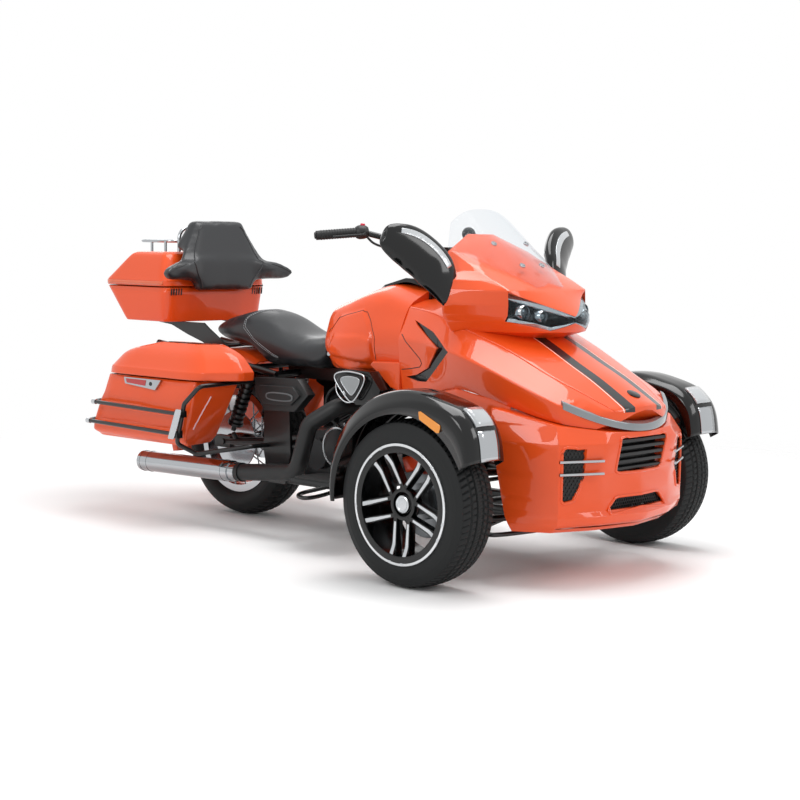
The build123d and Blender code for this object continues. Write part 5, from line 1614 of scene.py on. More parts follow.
@dataclass
class Screen:
    """Windscreen sheet with its ringed mounts, and the bolts at the fairing's edge."""

    slope: Point = (0.634, 0.0, 0.773)
    rings: Route = ((704, 97, 1140), (801, 57, 1057))
    bolts: Route = ((556, 88, 1152),)
    bolt_out: Point = (0.45, 0, 0.89)
    # How far over the sheet the search for its face starts
    above: float = 20

    def build(self) -> None:
        """Dresses the sheet and fits its fasteners."""
        sheet = dress("windscreen", PAINT.glass("clear_polycarbonate", "#FAFBFC"))
        skin = Skin(sheet)
        spots = [(x, side * y, z + self.above) for x, y, z in self.rings for _, side in SIDES]
        out = [(tuple(spot), self.slope) for spot in skin.near(np.array(spots))]
        place(studs("screen_rings", out, 11, 3.0, 6.5), "chassis", CHROME_PLATE, "chrome")
        place(studs("screen_bolts", out, 5, 4.0), "chassis", CHROME_PLATE, "chrome")
        fairing = Skin(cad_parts["upper_fairing"])
        spots = [(x, side * y, z) for x, y, z in self.bolts for _, side in SIDES]
        heads = [(tuple(spot), self.bolt_out) for spot in fairing.near(np.array(spots))]
        place(studs("fairing_bolts", heads, 6, 2.0), "chassis", GRAINED_ABS, "black_matte")


@dataclass
class FuelTank:
    """Fuel tank with a raised panel on each flank, the line round it and the bolt at the tank's foot."""

    # X, foot half width, low Z, belly half width, belly Z, shoulder half width, shoulder Z, crown Z
    sections: Table = (
        (-114, 64, 696, 106, 735, 82, 792, 812), (-70, 130, 653, 190, 745, 150, 870, 893),
        (40, 190, 653, 226, 760, 172, 910, 938),
        (190, 200, 660, 236, 780, 178, 945, 984), (361.6, 205, 668, 236, 792, 178, 912, 966),
    )
    panel: Outline = ((-30, 794), (18, 862), (155, 890), (192, 848), (226, 786), (222, 700), (185, 684),
                      (-24, 704))
    crease: Outline = (
        (-30, 730), (12, 792), (165, 797), (224, 786), (222, 700), (185, 684), (-24, 704))
    # Relief of both: height, width of the step, and distance from the middle plane past which they lie
    panel_relief: Point = (7.0, 9.0, 90)
    crease_relief: Point = (7.0, 14.0, 90)
    shares: tuple[float, ...] = (0.12, 0.34, 0.3, 0.3, 0.3, 0.3, 0.34, 0.12)
    crown_half: float = 60
    corner_steps: int = 8
    section_points: int = 150
    section_steps: int = 30
    # (X, Z) of the line round the panel and of the bolt at the tank's rear foot, and an offset outside the skin
    panel_line: Outline = ((-50, 800), (14, 870), (157, 900), (200, 850), (236, 786), (230, 690))
    line_offset: float = 215
    bolt: Point = (-60, 200, 700)

    def build(self) -> None:
        """Builds the tank skin and its seams."""
        rows = []
        for x, foot_y, low_z, belly_y, belly_z, wide_y, wide_z, crown_z in self.sections:
            outline = mirrored([(foot_y, low_z), (belly_y, belly_z), (wide_y, wide_z),
                                (self.crown_half, crown_z)])
            loop = respaced(soften(outline, np.array(self.shares), self.corner_steps), self.section_points)
            rows.append(np.insert(loop, 0, x, axis=1))
        grid = glide(np.stack(rows), self.section_steps)
        emboss(grid, list(self.panel), *self.panel_relief)
        emboss(grid, list(self.crease), *self.crease_relief)
        tank = place(surface("tank_skin", grid), "chassis", ORANGE_LACQUER, "orange_paint", ("fuel_tank",))
        skin = Skin(tank)
        for name, side in SIDES:
            edge = skin.along([(x, side * self.line_offset, z) for x, z in self.panel_line], 0.2, 7.0)
            place(tube(f"tank_panel_line_{name}", edge, 1.1, 6), "chassis", GRAINED_ABS, "orange_paint")
            bolt = [(tuple(skin.near(np.array([self.bolt]) * [1, side, 1])[0]), (0, side, 0.1))]
            place(studs(f"tank_bolt_{name}", bolt, 9, 3.0), "chassis", CHROME_PLATE, "chrome")


@dataclass
class Luggage:
    """Saddlebags and top case: painted shells with walls, lids that part at the seams, and their fittings."""

    # Z, rear X, outer front X, inner front X, outer half width, inner half width
    bag: Table = (
        (322, -1150, -592, -640, 430, 262), (352, -1178, -576, -612, 450, 250),
        (583, -1062, -520, -475, 456, 250))
    # Z, rear X, outer front X, tip X, outer half width, tip half width, inner half width
    lid: Table = (
        (589, -1074, -505, -385, 464, 330, 250), (618, -1067, -501, -381, 464, 330, 250),
        (624, -1060, -500, -382, 458, 330, 252),
        (688, -1000, -540, -430, 426, 325, 272), (724, -820, -590, -520, 385, 330, 292))
    # Z, front X, rear X, half width
    case: Table = ((795, -923, -1212, 258), (808, -921, -1222, 262), (937, -904, -1322, 277))
    case_lid: Table = (
        (943, -904, -1325, 279), (966, -906, -1325, 279), (970, -908, -1320, 277), (1070, -945, -1200, 246),
        (1084, -965, -1180, 226))
    wall: float = 4.0
    curve_steps: int = 9
    edge_steps: int = 5
    # Points along a straight side and rows between edges, on a plain shell and on an embossed one
    plain_steps: tuple[int, int] = (14, 3)
    fine_steps: tuple[int, int] = (32, 5)
    # Relief on a bag's flank: height and edge of the bulge and of the sunk pocket, and the offset past which they lie
    bulge_relief: Pair = (8.0, 11.0)
    pocket_relief: Pair = (-9.0, 10.0)
    relief_from: float = 380
    # Latch: corners of its lens and middle of its key in (X, Z), on the flank at an offset from the middle plane
    latch_lens: Outline = ((-923, 556), (-929, 573), (-800, 573), (-806, 550))
    latch_key: Pair = (-772, 560)
    latch_offset: float = 468
    mount_x: Pair = (-700, -980)
    mount_z: float = 560
    mount_span: Pair = (184.5, 252)
    clamp: Outline = ((-524, 478), (-560, 478), (-608, 358), (-572, 358))
    clamp_offset: float = 510.6
    # (X, Z) of both ends of each collar on the guard rails, and the rails' offset
    collars: tuple[tuple[Pair, Pair], ...] = (
        ((-1112, 467.3), (-1090, 467.0)), ((-1150, 386.2), (-1128, 385.8)))
    rail_offset: float = 496
    collar_radius: float = 10.5
    reflector: Route = ((-500, 366, 512), (-540, 412, 380))
    # (X, Y) of both ends of each slot in a lid, and the lid's height there
    lid_slots: tuple[tuple[Pair, Pair], ...] = (
        ((-830, 372), (-600, 346)), ((-800, 350), (-560, 322)))
    slot_z: float = 724
    slot_half: float = 5.0
    # Case: reflector path round the back, its half height, black bars painted as the shade of vent slots, and hinges
    case_band: Route = ((-930, -279, 955), (-1325, -279, 955), (-1325, 279, 955), (-930, 279, 955))
    band_half: float = 7.5
    vent_y: Point = (198, 262, 13)
    vent_high: Pair = (-904.6, 934.0)
    vent_low: Pair = (-908.2, 906.0)
    vent_size: Pair = (5.5, 3.0)
    hinge_x: Pair = (-1200, -1000)
    hinge_at: Pair = (284.0, 940.0)
    # Length of a hinge's half and the step to the other half, then each half's leaf: its body and its low and high Z
    hinge_half: float = 29.5
    hinge_step: float = 30.5
    hinge_leaves: tuple[tuple[str, float, float], ...] = (("chassis", 930, 938), ("case_lid_set", 942, 950))
    leaf_y: Pair = (275, 286)
    # Parts of its size to which a ring shrinks to close a shell
    closing: Point = (0.05, 0.5, 0.93)
    bulge: Outline = (
        (-1180, 330), (-1150, 470), (-1098, 500), (-1026, 530), (-913, 526), (-730, 507), (-560, 497),
        (-560, 330), (-900, 322))
    pocket: Outline = ((-1112, 452), (-600, 438), (-612, 386), (-1130, 392))

    def shell(self, rings: list[np.ndarray], share: float, ease: float, close_low: bool,
              fine: bool = False) -> np.ndarray:
        """Skin through rings of plan corners, its corners rounded both ways and one end closed by shrinking rings.

        Args:
            rings: corners of each level as (corners, 3).
            share: how much of each side a plan corner takes.
            ease: how much of each gap between levels an edge takes.
            close_low: closes the first level, and otherwise the last.
            fine: makes it dense enough to emboss.
        Returns:
            The grid.
        """
        straight, between = self.fine_steps if fine else self.plain_steps
        levels = [rounded_ring(ring, share, self.curve_steps, straight) for ring in rings]
        if close_low:
            levels = [self.shrunk(levels[0], part) for part in self.closing] + levels
        else:
            levels += [self.shrunk(levels[-1], part) for part in self.closing[::-1]]
        return dense(eased(np.stack(levels), ease, self.edge_steps), between)

    @staticmethod
    def shrunk(level: np.ndarray, part: float) -> np.ndarray:
        """A level drawn in to a part of its size about its middle."""
        middle = level.mean(axis=0)
        return middle + (level - middle) * part

    def build(self) -> None:
        """Builds both bags, their lids and the case."""
        for name, side in SIDES:
            rings = [np.array([(rear, side * wide, z), (front, side * wide, z), (inner, side * thin, z),
                               (rear, side * thin, z)], float)
                     for z, rear, front, inner, wide, thin in self.bag]
            grid = self.shell(rings, 0.07, 0.2, True, fine=True)
            emboss(grid, list(self.bulge), *self.bulge_relief, self.relief_from)
            emboss(grid, list(self.pocket), *self.pocket_relief, self.relief_from)
            self.finish(f"saddlebag_{name}", grid, "chassis", (f"bag_{name}",))
            rings = [np.array([(rear, side * wide, z), (front, side * wide, z), (tip, side * tip_y, z),
                               (tip, side * thin, z),
                               (rear, side * thin, z)], float)
                     for z, rear, front, tip, wide, tip_y, thin in self.lid]
            grid = self.shell(rings, 0.22, 0.42, False)
            self.finish(f"saddlebag_lid_{name}", grid, f"bag_lid_{name}_set", (f"bag_lid_{name}",))
            self.bag_fittings(name, side)
        for piece, table, low, body in (("case_base", self.case, True, "chassis"),
                                        ("case_lid", self.case_lid, False, "case_lid_set")):
            rings = [np.array([(front, wide, z), (rear, wide, z), (rear, -wide, z), (front, -wide, z)], float)
                     for z, front, rear, wide in table]
            self.finish(piece, self.shell(rings, 0.12, 0.32, low), body,
                        ("top_case",) if low else ("top_case_lid",))
        self.case_fittings()

    def finish(self, name: str, grid: np.ndarray, body: str, stands_for: tuple[str, ...]) -> None:
        """Makes a painted shell with its wall.

        Args:
            name: the piece's name.
            grid: its outer surface.
            body: the body it moves with.
            stands_for: the CAD nodes it replaces.
        """
        thing = surface(name, grid, caps=False, sharp=45)
        thicken(thing, self.wall)
        place(thing, body, ORANGE_LACQUER, "orange_paint", stands_for)

    def bag_fittings(self, name: str, side: int) -> None:
        """Latch lens and key, mount stubs, clamp plate, collars, reflector line and lid slots of one bag.

        Args:
            name: the side's name.
            side: +1 for left, -1 for right.
        """
        y = side * self.latch_offset
        lens = plate(f"latch_lens_{name}", list(self.latch_lens), "Y", y, y + side * 1.6, 0.5)
        place(lens, "chassis", RED_ACRYLIC, "lamp_red")
        key_x, key_z = self.latch_key
        place(studs(f"latch_key_{name}", [((key_x, y, key_z), (0, side, 0))], 8, 2.5), "chassis", GRAINED_ABS,
              "black_matte")
        for number, x in enumerate(self.mount_x):
            stub = tube(f"bag_mount_{name}_{number}", bend([(x, side * end, self.mount_z)
                                                            for end in self.mount_span], 1), 10)
            place(stub, "chassis", POWDER_COAT, "black_steel")
        y = side * self.clamp_offset
        clamp = soften(np.array(self.clamp, float), 0.14, 5).tolist()
        place(plate(f"guard_clamp_{name}", clamp, "Y", y, y + side * 5, 1.6), "chassis", MACHINED_ALUMINIUM,
              "chrome")
        for number, ends in enumerate(self.collars):
            path = np.linspace(*((x, side * self.rail_offset, z) for x, z in ends), 5)
            collar = tube(f"guard_collar_{name}_{number}", path, self.collar_radius)
            place(collar, "chassis", MACHINED_ALUMINIUM, "chrome")
        bag = Skin(bpy.data.objects[f"saddlebag_{name}"])
        line = bag.along([(x, side * y, z) for x, y, z in self.reflector], 0.8, 8.0)
        place(tube(f"reflector_line_{name}", line, 3.0, 8), "chassis", REFLECTOR, "lamp_clear")
        lid = Skin(bpy.data.objects[f"saddlebag_lid_{name}"])
        for number, ends in enumerate(self.lid_slots):
            line = lid.along([(x, side * y, self.slot_z) for x, y in ends], 0.6, 10.0)
            half = np.sin(np.linspace(0.05, np.pi - 0.05, len(line)))[:, None] * [0.0, self.slot_half, 0.0]
            leaf = sheet(f"lid_slot_{name}_{number}", np.stack([line - half, line + half], axis=1), 1.2, 1.0)
            place(leaf, f"bag_lid_{name}_set", GRAINED_ABS, "black_matte")

    def case_fittings(self) -> None:
        """Reflector band, black bars at the case's front corners as painted shade of vent slots, and hinges."""
        path = Skin(bpy.data.objects["case_lid"]).along(bend(list(self.case_band), 26).tolist(), 0.6, 9.0)
        rise = np.array([0.0, 0.0, self.band_half])
        band = sheet("case_reflector", np.stack([path - rise, path + rise], axis=1), 1.6, 1.0)
        place(band, "case_lid_set", CASE_LENS, "lamp_red")
        # The slots are not cut: black bars on the case's face are painted shade standing for them
        y = np.concatenate([np.arange(*self.vent_y), -np.arange(*self.vent_y)]).astype(float)
        high, low = (np.stack([np.full_like(y, x), y, np.full_like(y, z)], axis=-1)
                     for x, z in (self.vent_high, self.vent_low))
        slots = boxes("case_vent_slot_shade", low, high, *self.vent_size, np.array([1.0, 0, 0]))
        place(slots, "chassis", GRAINED_ABS, "black_matte")
        for number, x in enumerate(self.hinge_x):
            for half, (body, low_z, high_z) in enumerate(self.hinge_leaves):
                start = x + self.hinge_step * half
                end = start + self.hinge_half
                path = np.linspace((start, *self.hinge_at), (end, *self.hinge_at), 4)
                place(tube(f"case_hinge_{number}_{body}", path, 5), body, POWDER_COAT, "black_steel")
                corners = [(start, low_z), (end, low_z), (end, high_z), (start, high_z)]
                leaf = plate(f"case_hinge_leaf_{number}_{body}", corners, "Y", *self.leaf_y, 1.0)
                place(leaf, body, POWDER_COAT, "black_steel")


@dataclass
class NoseTrim:
    """Hexagonal mesh in the bumper's openings, their lips, the round badge disc and the hoops under nose and engine."""

    lower: Outline = ((-120, 293), (120, 293), (160, 259), (-160, 259))
    vent: Outline = ((339, 469), (265, 465), (265, 374), (303, 303), (339, 296))
    pitch: float = 13
    strand: float = 1.8
    # X of a mesh on the middle plane and its slope per mm of |Y|
    lower_front: Pair = (1252.2, 0.0)
    vent_front: Pair = (1236.2 + 40 / 84 * 260, -40 / 84)
    # Lips: outlines in (Y, Z), and an X ahead of the bumper from which each is laid on it
    centre_lip: Outline = ((-133, 504), (133, 504), (133, 377), (-133, 377))
    lower_lip: Outline = ((-126, 300), (126, 300), (170, 252), (-170, 252))
    vent_lip: Outline = ((346, 476), (258, 472), (258, 371), (297, 295), (346, 288))
    lip_from: Point = (1290, 1286, 1230)
    lip_radius: float = 5.5
    lip_sunk: float = 1.5
    lip_points: int = 90
    badge_at: Point = (1246.0, 0.0, 643.0)
    badge_out: Point = (0.42, 0, 0.9)
    badge_radius: float = 25
    # Hoops of the left side, as corners in (X, Y, Z)
    nose_hoop: Route = (
        (1060, 150, 200), (1046, 240, 172), (1012, 400, 170), (988, 448, 170), (930, 410, 172), (880, 330, 176),
        (870, 150, 200))
    step_hoop: Route = (
        (-40, 152, 200), (-112, 273, 172), (-60, 330, 170), (1, 343, 172), (5, 261, 176), (20, 152, 200))
    hoop_radius: float = 8
    hoop_bend: float = 40

    def build(self) -> None:
        """Builds the mesh panels, the lips, the disc and the hoops."""
        self.mesh("lower_mesh", self.lower, self.lower_front)
        for name, side in SIDES:
            self.mesh(f"vent_mesh_{name}", tuple((side * y, z) for y, z in self.vent), self.vent_front)
        bumper = Skin(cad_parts["front_bumper"])
        openings = [("centre", self.centre_lip, self.lip_from[0]), ("lower", self.lower_lip, self.lip_from[1])]
        openings += [(f"vent_{name}", tuple((side * y, z) for y, z in self.vent_lip), self.lip_from[2])
                     for name, side in SIDES]
        for name, corners, x in openings:
            loop = respaced(soften(np.array(corners, float), 0.12, 5), self.lip_points)
            path = bumper.near(np.insert(loop, 0, x, axis=1), -self.lip_sunk)
            path = np.concatenate([path, path[:1]])
            lip = tube(f"{name}_opening_lip", path, self.lip_radius, 10)
            place(lip, "chassis", ORANGE_LACQUER, "orange_paint")
        centre = Skin(bpy.data.objects["body_shell_panels"]).near(np.array([self.badge_at]))[0]
        badge = studs("round_badge", [(tuple(centre), self.badge_out)], self.badge_radius, 3.0)
        place(badge, "chassis", GLOSS_ABS, "black_gloss")
        for name, side in SIDES:
            for kind, corners in (("nose", self.nose_hoop), ("step", self.step_hoop)):
                path = bend([(x, side * y, z) for x, y, z in corners], self.hoop_bend)
                hoop = tube(f"{kind}_guard_hoop_{name}", path, self.hoop_radius)
                place(hoop, "chassis", POWDER_COAT, "black_steel")

    def mesh(self, name: str, outline: Outline, front: Pair) -> None:
        """Fits one panel of mesh behind an opening."""
        panel = hex_mesh(name, list(outline), self.pitch, self.strand, np.array(front))
        place(panel, "chassis", GRAINED_ABS, "black_gloss")


@dataclass
class Engine:
    """Trim on the V-twin: cover rims, faces and bolts, pushrod tubes, clamps, muffler rings, intake rings and hoses."""

    crank: Point = (24, 0, 358)
    # (radius, outward offset) profiles of the cover's rim and face
    rim: Outline = ((71, 205), (77, 205), (77, 209), (73, 211), (70, 209))
    face: Outline = ((0.05, 206), (66, 206), (66, 210), (60, 213), (0.05, 214))
    bolt_angles: tuple[int, ...] = (20, 60, 100, 140)
    bolt_ring: float = 84
    bolt_offset: float = 150
    # (X, Z) of the foot and the head of each pushrod tube, and the tubes' offsets there
    pushrods: tuple[tuple[Pair, Pair], ...] = (
        ((0, 426), (-66, 560)), ((26, 426), (-44, 570)), ((36, 426), (68, 560)), ((10, 426), (90, 570)))
    pushrod_offsets: Pair = (84, 82)
    pushrod_radius: float = 8
    pipe_offset: float = 330
    # (X, Z) of the ends of the clamp and of the muffler, and where rings lie along the muffler
    clamp: tuple[Pair, Pair] = ((-372, 233.4), (-398, 231.4))
    clamp_radius: float = 37.5
    muffler: tuple[Pair, Pair] = ((-392.7, 232), (-982.7, 221))
    rings: tuple[float, ...] = (0.12, 0.9, 0.97)
    ring_radius: float = 43.4
    ring_run: Point = (-9, 0, -0.2)
    intake_middle: Pair = (206, 616)
    intake: Outline = ((116, 652), (178, 664), (266, 656), (270, 628), (216, 552), (188, 552), (112, 628))
    intake_round: float = 0.42
    inner_scale: float = 0.62
    # Name, scale, Y and radius of each bright ring
    intake_rings: tuple[tuple[str, float, float, float], ...] = (("outer", 1.0, -312.5, 3.0),
                                                                 ("inner", 0.62, -315.0, 1.6))
    shield: Pair = (-311, -315)
    wire: Route = (
        (98, -268, 640), (84, -276, 612), (92, -280, 574), (134, -276, 540), (170, -262, 546))
    wire_radius: float = 3.2
    hose_runs: tuple[Route, ...] = (
        ((150, -140, 600), (190, -170, 540), (160, -150, 470), (90, -120, 430)),
        ((-40, -90, 600), (-90, -150, 560), (-110, -140, 470), (-60, -110, 420)),
        ((120, -110, 560), (210, -130, 520), (230, -120, 430), (160, -108, 380)),
        ((60, -100, 600), (40, -180, 560), (60, -190, 500), (80, -140, 440)),
    )
    hose_radius: float = 6
    union_radius: float = 9
    union_share: float = 0.2

    def build(self) -> None:
        """Builds the bright and rubber fittings on both sides."""
        for name, side in SIDES:
            rim = turned(f"crank_cover_rim_{name}", self.crank, side, list(self.rim), 64)
            place(rim, "chassis", MACHINED_ALUMINIUM, "engine_cast")
            face = turned(f"crank_cover_face_{name}", self.crank, side, list(self.face), 64, closed=False)
            place(face, "chassis", CAST_ALUMINIUM, "engine_cast")
            ways = [(cos(radians(angle)), 0, sin(radians(angle))) for angle in self.bolt_angles]
            start = np.array(self.crank) + [0, side * self.bolt_offset, 0]
            spots = [(tuple(start + np.array(way) * self.bolt_ring), way) for way in ways]
            place(studs(f"crank_bolts_{name}", spots, 6, 5), "chassis", CHROME_PLATE, "chrome")
            low, high = (side * offset for offset in self.pushrod_offsets)
            for number, (foot, head) in enumerate(self.pushrods):
                path = np.linspace((foot[0], low, foot[1]), (head[0], high, head[1]), 6)
                pushrod = tube(f"pushrod_tube_{name}_{number}", path, self.pushrod_radius)
                place(pushrod, "chassis", CHROME_PLATE, "chrome")
            self.exhaust(name, side * self.pipe_offset)
        self.air_cleaner()
        self.hoses()

    def exhaust(self, name: str, y: float) -> None:
        """Clamp at the pipe's end and rings on the muffler.

        Args:
            name: the side's name.
            y: Y of the pipe's middle in mm.
        """
        path = np.linspace(*((x, y, z) for x, z in self.clamp), 4)
        place(tube(f"pipe_clamp_{name}", path, self.clamp_radius, 32), "chassis", HEAT_PAINT, "black_heat")
        front, back = (np.array([x, y, z]) for x, z in self.muffler)
        for number, at in enumerate(self.rings):
            start = front + (back - front) * at
            ring = tube(f"muffler_ring_{name}_{number}", np.stack([start, start + self.ring_run]),
                        self.ring_radius, 40)
            place(ring, "chassis", CHROME_PLATE, "chrome")

    def intake_loop(self, scale: float) -> np.ndarray:
        """Rounded outline of the air cleaner's badge in (X, Z), drawn in to a scale."""
        middle = np.array(self.intake_middle, float)
        return soften(middle + (np.array(self.intake) - middle) * scale, self.intake_round, 8)

    def air_cleaner(self) -> None:
        """Bright rings, the plain shield and the wire on the air cleaner."""
        for name, scale, y, radius in self.intake_rings:
            path = np.insert(self.intake_loop(scale), 1, y, axis=1)
            run = np.roll(path, -1, axis=0) - np.roll(path, 1, axis=0)
            run /= np.linalg.norm(run, axis=1, keepdims=True)
            out = np.cross(run, (0, 1, 0))
            a = np.linspace(0, 2 * np.pi, 10, endpoint=False)[None, :, None]
            grid = path[:, None] + radius * (np.cos(a) * out[:, None] + np.sin(a) * np.array([0, 1, 0]))
            place(surface(f"intake_ring_{name}", grid, along=True, caps=False), "chassis", MACHINED_ALUMINIUM,
                  "chrome")
        shield = plate("intake_shield", self.intake_loop(self.inner_scale).tolist(), "Y", *self.shield, 1.0)
        place(shield, "chassis", BRUSHED_SHIELD, "chrome")
        wire = tube("intake_trim_wire", bend(list(self.wire), 24), self.wire_radius, 10)
        place(wire, "chassis", MACHINED_ALUMINIUM, "chrome")

    def hoses(self) -> None:
        """Black hoses and bright unions between the cylinders, the intake and the cases."""
        for number, run in enumerate(self.hose_runs):
            hose = tube(f"engine_hose_{number}", bend(list(run), 40), self.hose_radius, 10)
            place(hose, "chassis", GRIP_RUBBER, "black_rubber")
            end, before = np.array(run[-1]), np.array(run[-2])
            path = np.linspace(end, end + (before - end) * self.union_share, 3)
            place(tube(f"hose_union_{number}", path, self.union_radius, 6), "chassis", CHROME_PLATE, "chrome")


@dataclass
class Controls:
    """Switch pods, kill switch, grip ribs and hoses on the handlebar, and the display in the dash."""

    # Inner end of the left grip, and the way it points outward
    grip: Point = (222.0, 311.0, 1172.4)
    way: Point = (-80.0, 119.0, -12.4)
    pod_span: Pair = (-6, 40)
    pod_radii: tuple[float, ...] = (20, 24, 26, 26, 26, 25, 22, 17)
    # Where the left hose leaves the pod: run back along the grip, then an offset; then its corners
    hose_back: float = 30
    hose_drop: Point = (8, 0, -18)
    hose: Route = ((262, 262, 1128), (330, 170, 1104), (396, 40, 1076))
    hose_radius: float = 4.5
    rib_span: tuple[float, float, int] = (14, 134, 13)
    rib_radii: Pair = (18.2, 16)
    button_back: float = 16
    button_offset: Point = (2, 3, 24)
    # (X, Z) of the display's low and high edge, and its half width
    display: tuple[Pair, Pair] = ((597.5, 1024), (560.5, 1098))
    display_half: float = 96

    def build(self) -> None:
        """Builds the fittings round the grips and the dash display."""
        way = np.array(self.way) / np.linalg.norm(self.way)
        for name, side in SIDES:
            inner, run = (np.array(value) * [1, side, 1] for value in (self.grip, way))
            path = inner - run * np.linspace(*self.pod_span, len(self.pod_radii))[:, None]
            pod = tube(f"switch_pod_{name}", path, np.array(self.pod_radii), 20)
            place(pod, "handlebar_set", GRAINED_ABS, "black_rubber")
            corners = [tuple(inner - run * self.hose_back + self.hose_drop),
                       *((x, side * y, z) for x, y, z in self.hose)]
            hose = tube(f"control_hose_{name}", bend(corners, 40), self.hose_radius, 10)
            place(hose, "handlebar_set", GRIP_RUBBER, "black_rubber")
            ribs = [(tuple(inner + run * at), tuple(run)) for at in np.linspace(*self.rib_span)]
            outer, core = self.rib_radii
            place(studs(f"grip_ribs_{name}", ribs, outer, 1.6, core), "handlebar_set", GRIP_RUBBER,
                  "black_rubber")
        top = (np.array(self.grip) - way * self.button_back) * [1, -1, 1] + self.button_offset
        button = studs("kill_switch", [(tuple(top), (0.15, 0, 1))], 9, 7)
        place(button, "handlebar_set", RED_SWITCH, "lamp_red")
        edges = [[(x, y, z) for y in (-self.display_half, self.display_half)] for x, z in self.display]
        display = sheet("dash_display", np.array(edges), 3.0, 0.0)
        round_edges(display, 1.2)
        place(display, "chassis", GLOSS_ABS, "black_matte")


@dataclass
class RearTrim:
    """Tail lamp lens and the oval shields on the side covers."""

    # Lens: corners in (Y, Z), and X of its back and front
    lens: Outline = ((-76, 404), (76, 404), (76, 456), (-76, 456))
    lens_x: Pair = (-1128, -1121.6)
    # Shield: corners in (X, Z), its middle, distance from the middle plane, and the face's share of its size
    shield: Outline = ((-352, 513), (-198, 513), (-198, 548), (-352, 548))
    shield_middle: Pair = (-275, 530.5)
    shield_offset: float = 228
    face_share: Pair = (0.9, 0.7)

    def build(self) -> None:
        """Builds the small pieces at the back and on the flanks."""
        lens = plate("tail_lens", list(self.lens), "X", *self.lens_x, 3)
        place(lens, "chassis", RED_ACRYLIC, "lamp_red")
        oval = soften(np.array(self.shield, float), 0.42, 9)
        inset = (oval - self.shield_middle) * self.face_share + self.shield_middle
        for name, side in SIDES:
            # Name, outline, offset of its back and front, rounding and finish
            for piece, outline, low, high, edge, finish in (
                ("cover_shield_rim", oval, 0.0, 4.0, 1.2, SHIELD_GREY),
                ("cover_shield", inset, 2.0, 5.4, 0.8, GRAINED_ABS),
            ):
                back, front = (side * (self.shield_offset + offset) for offset in (low, high))
                shield = plate(f"{piece}_{name}", outline.tolist(), "Y", back, front, edge)
                place(shield, "chassis", finish, "black_matte")


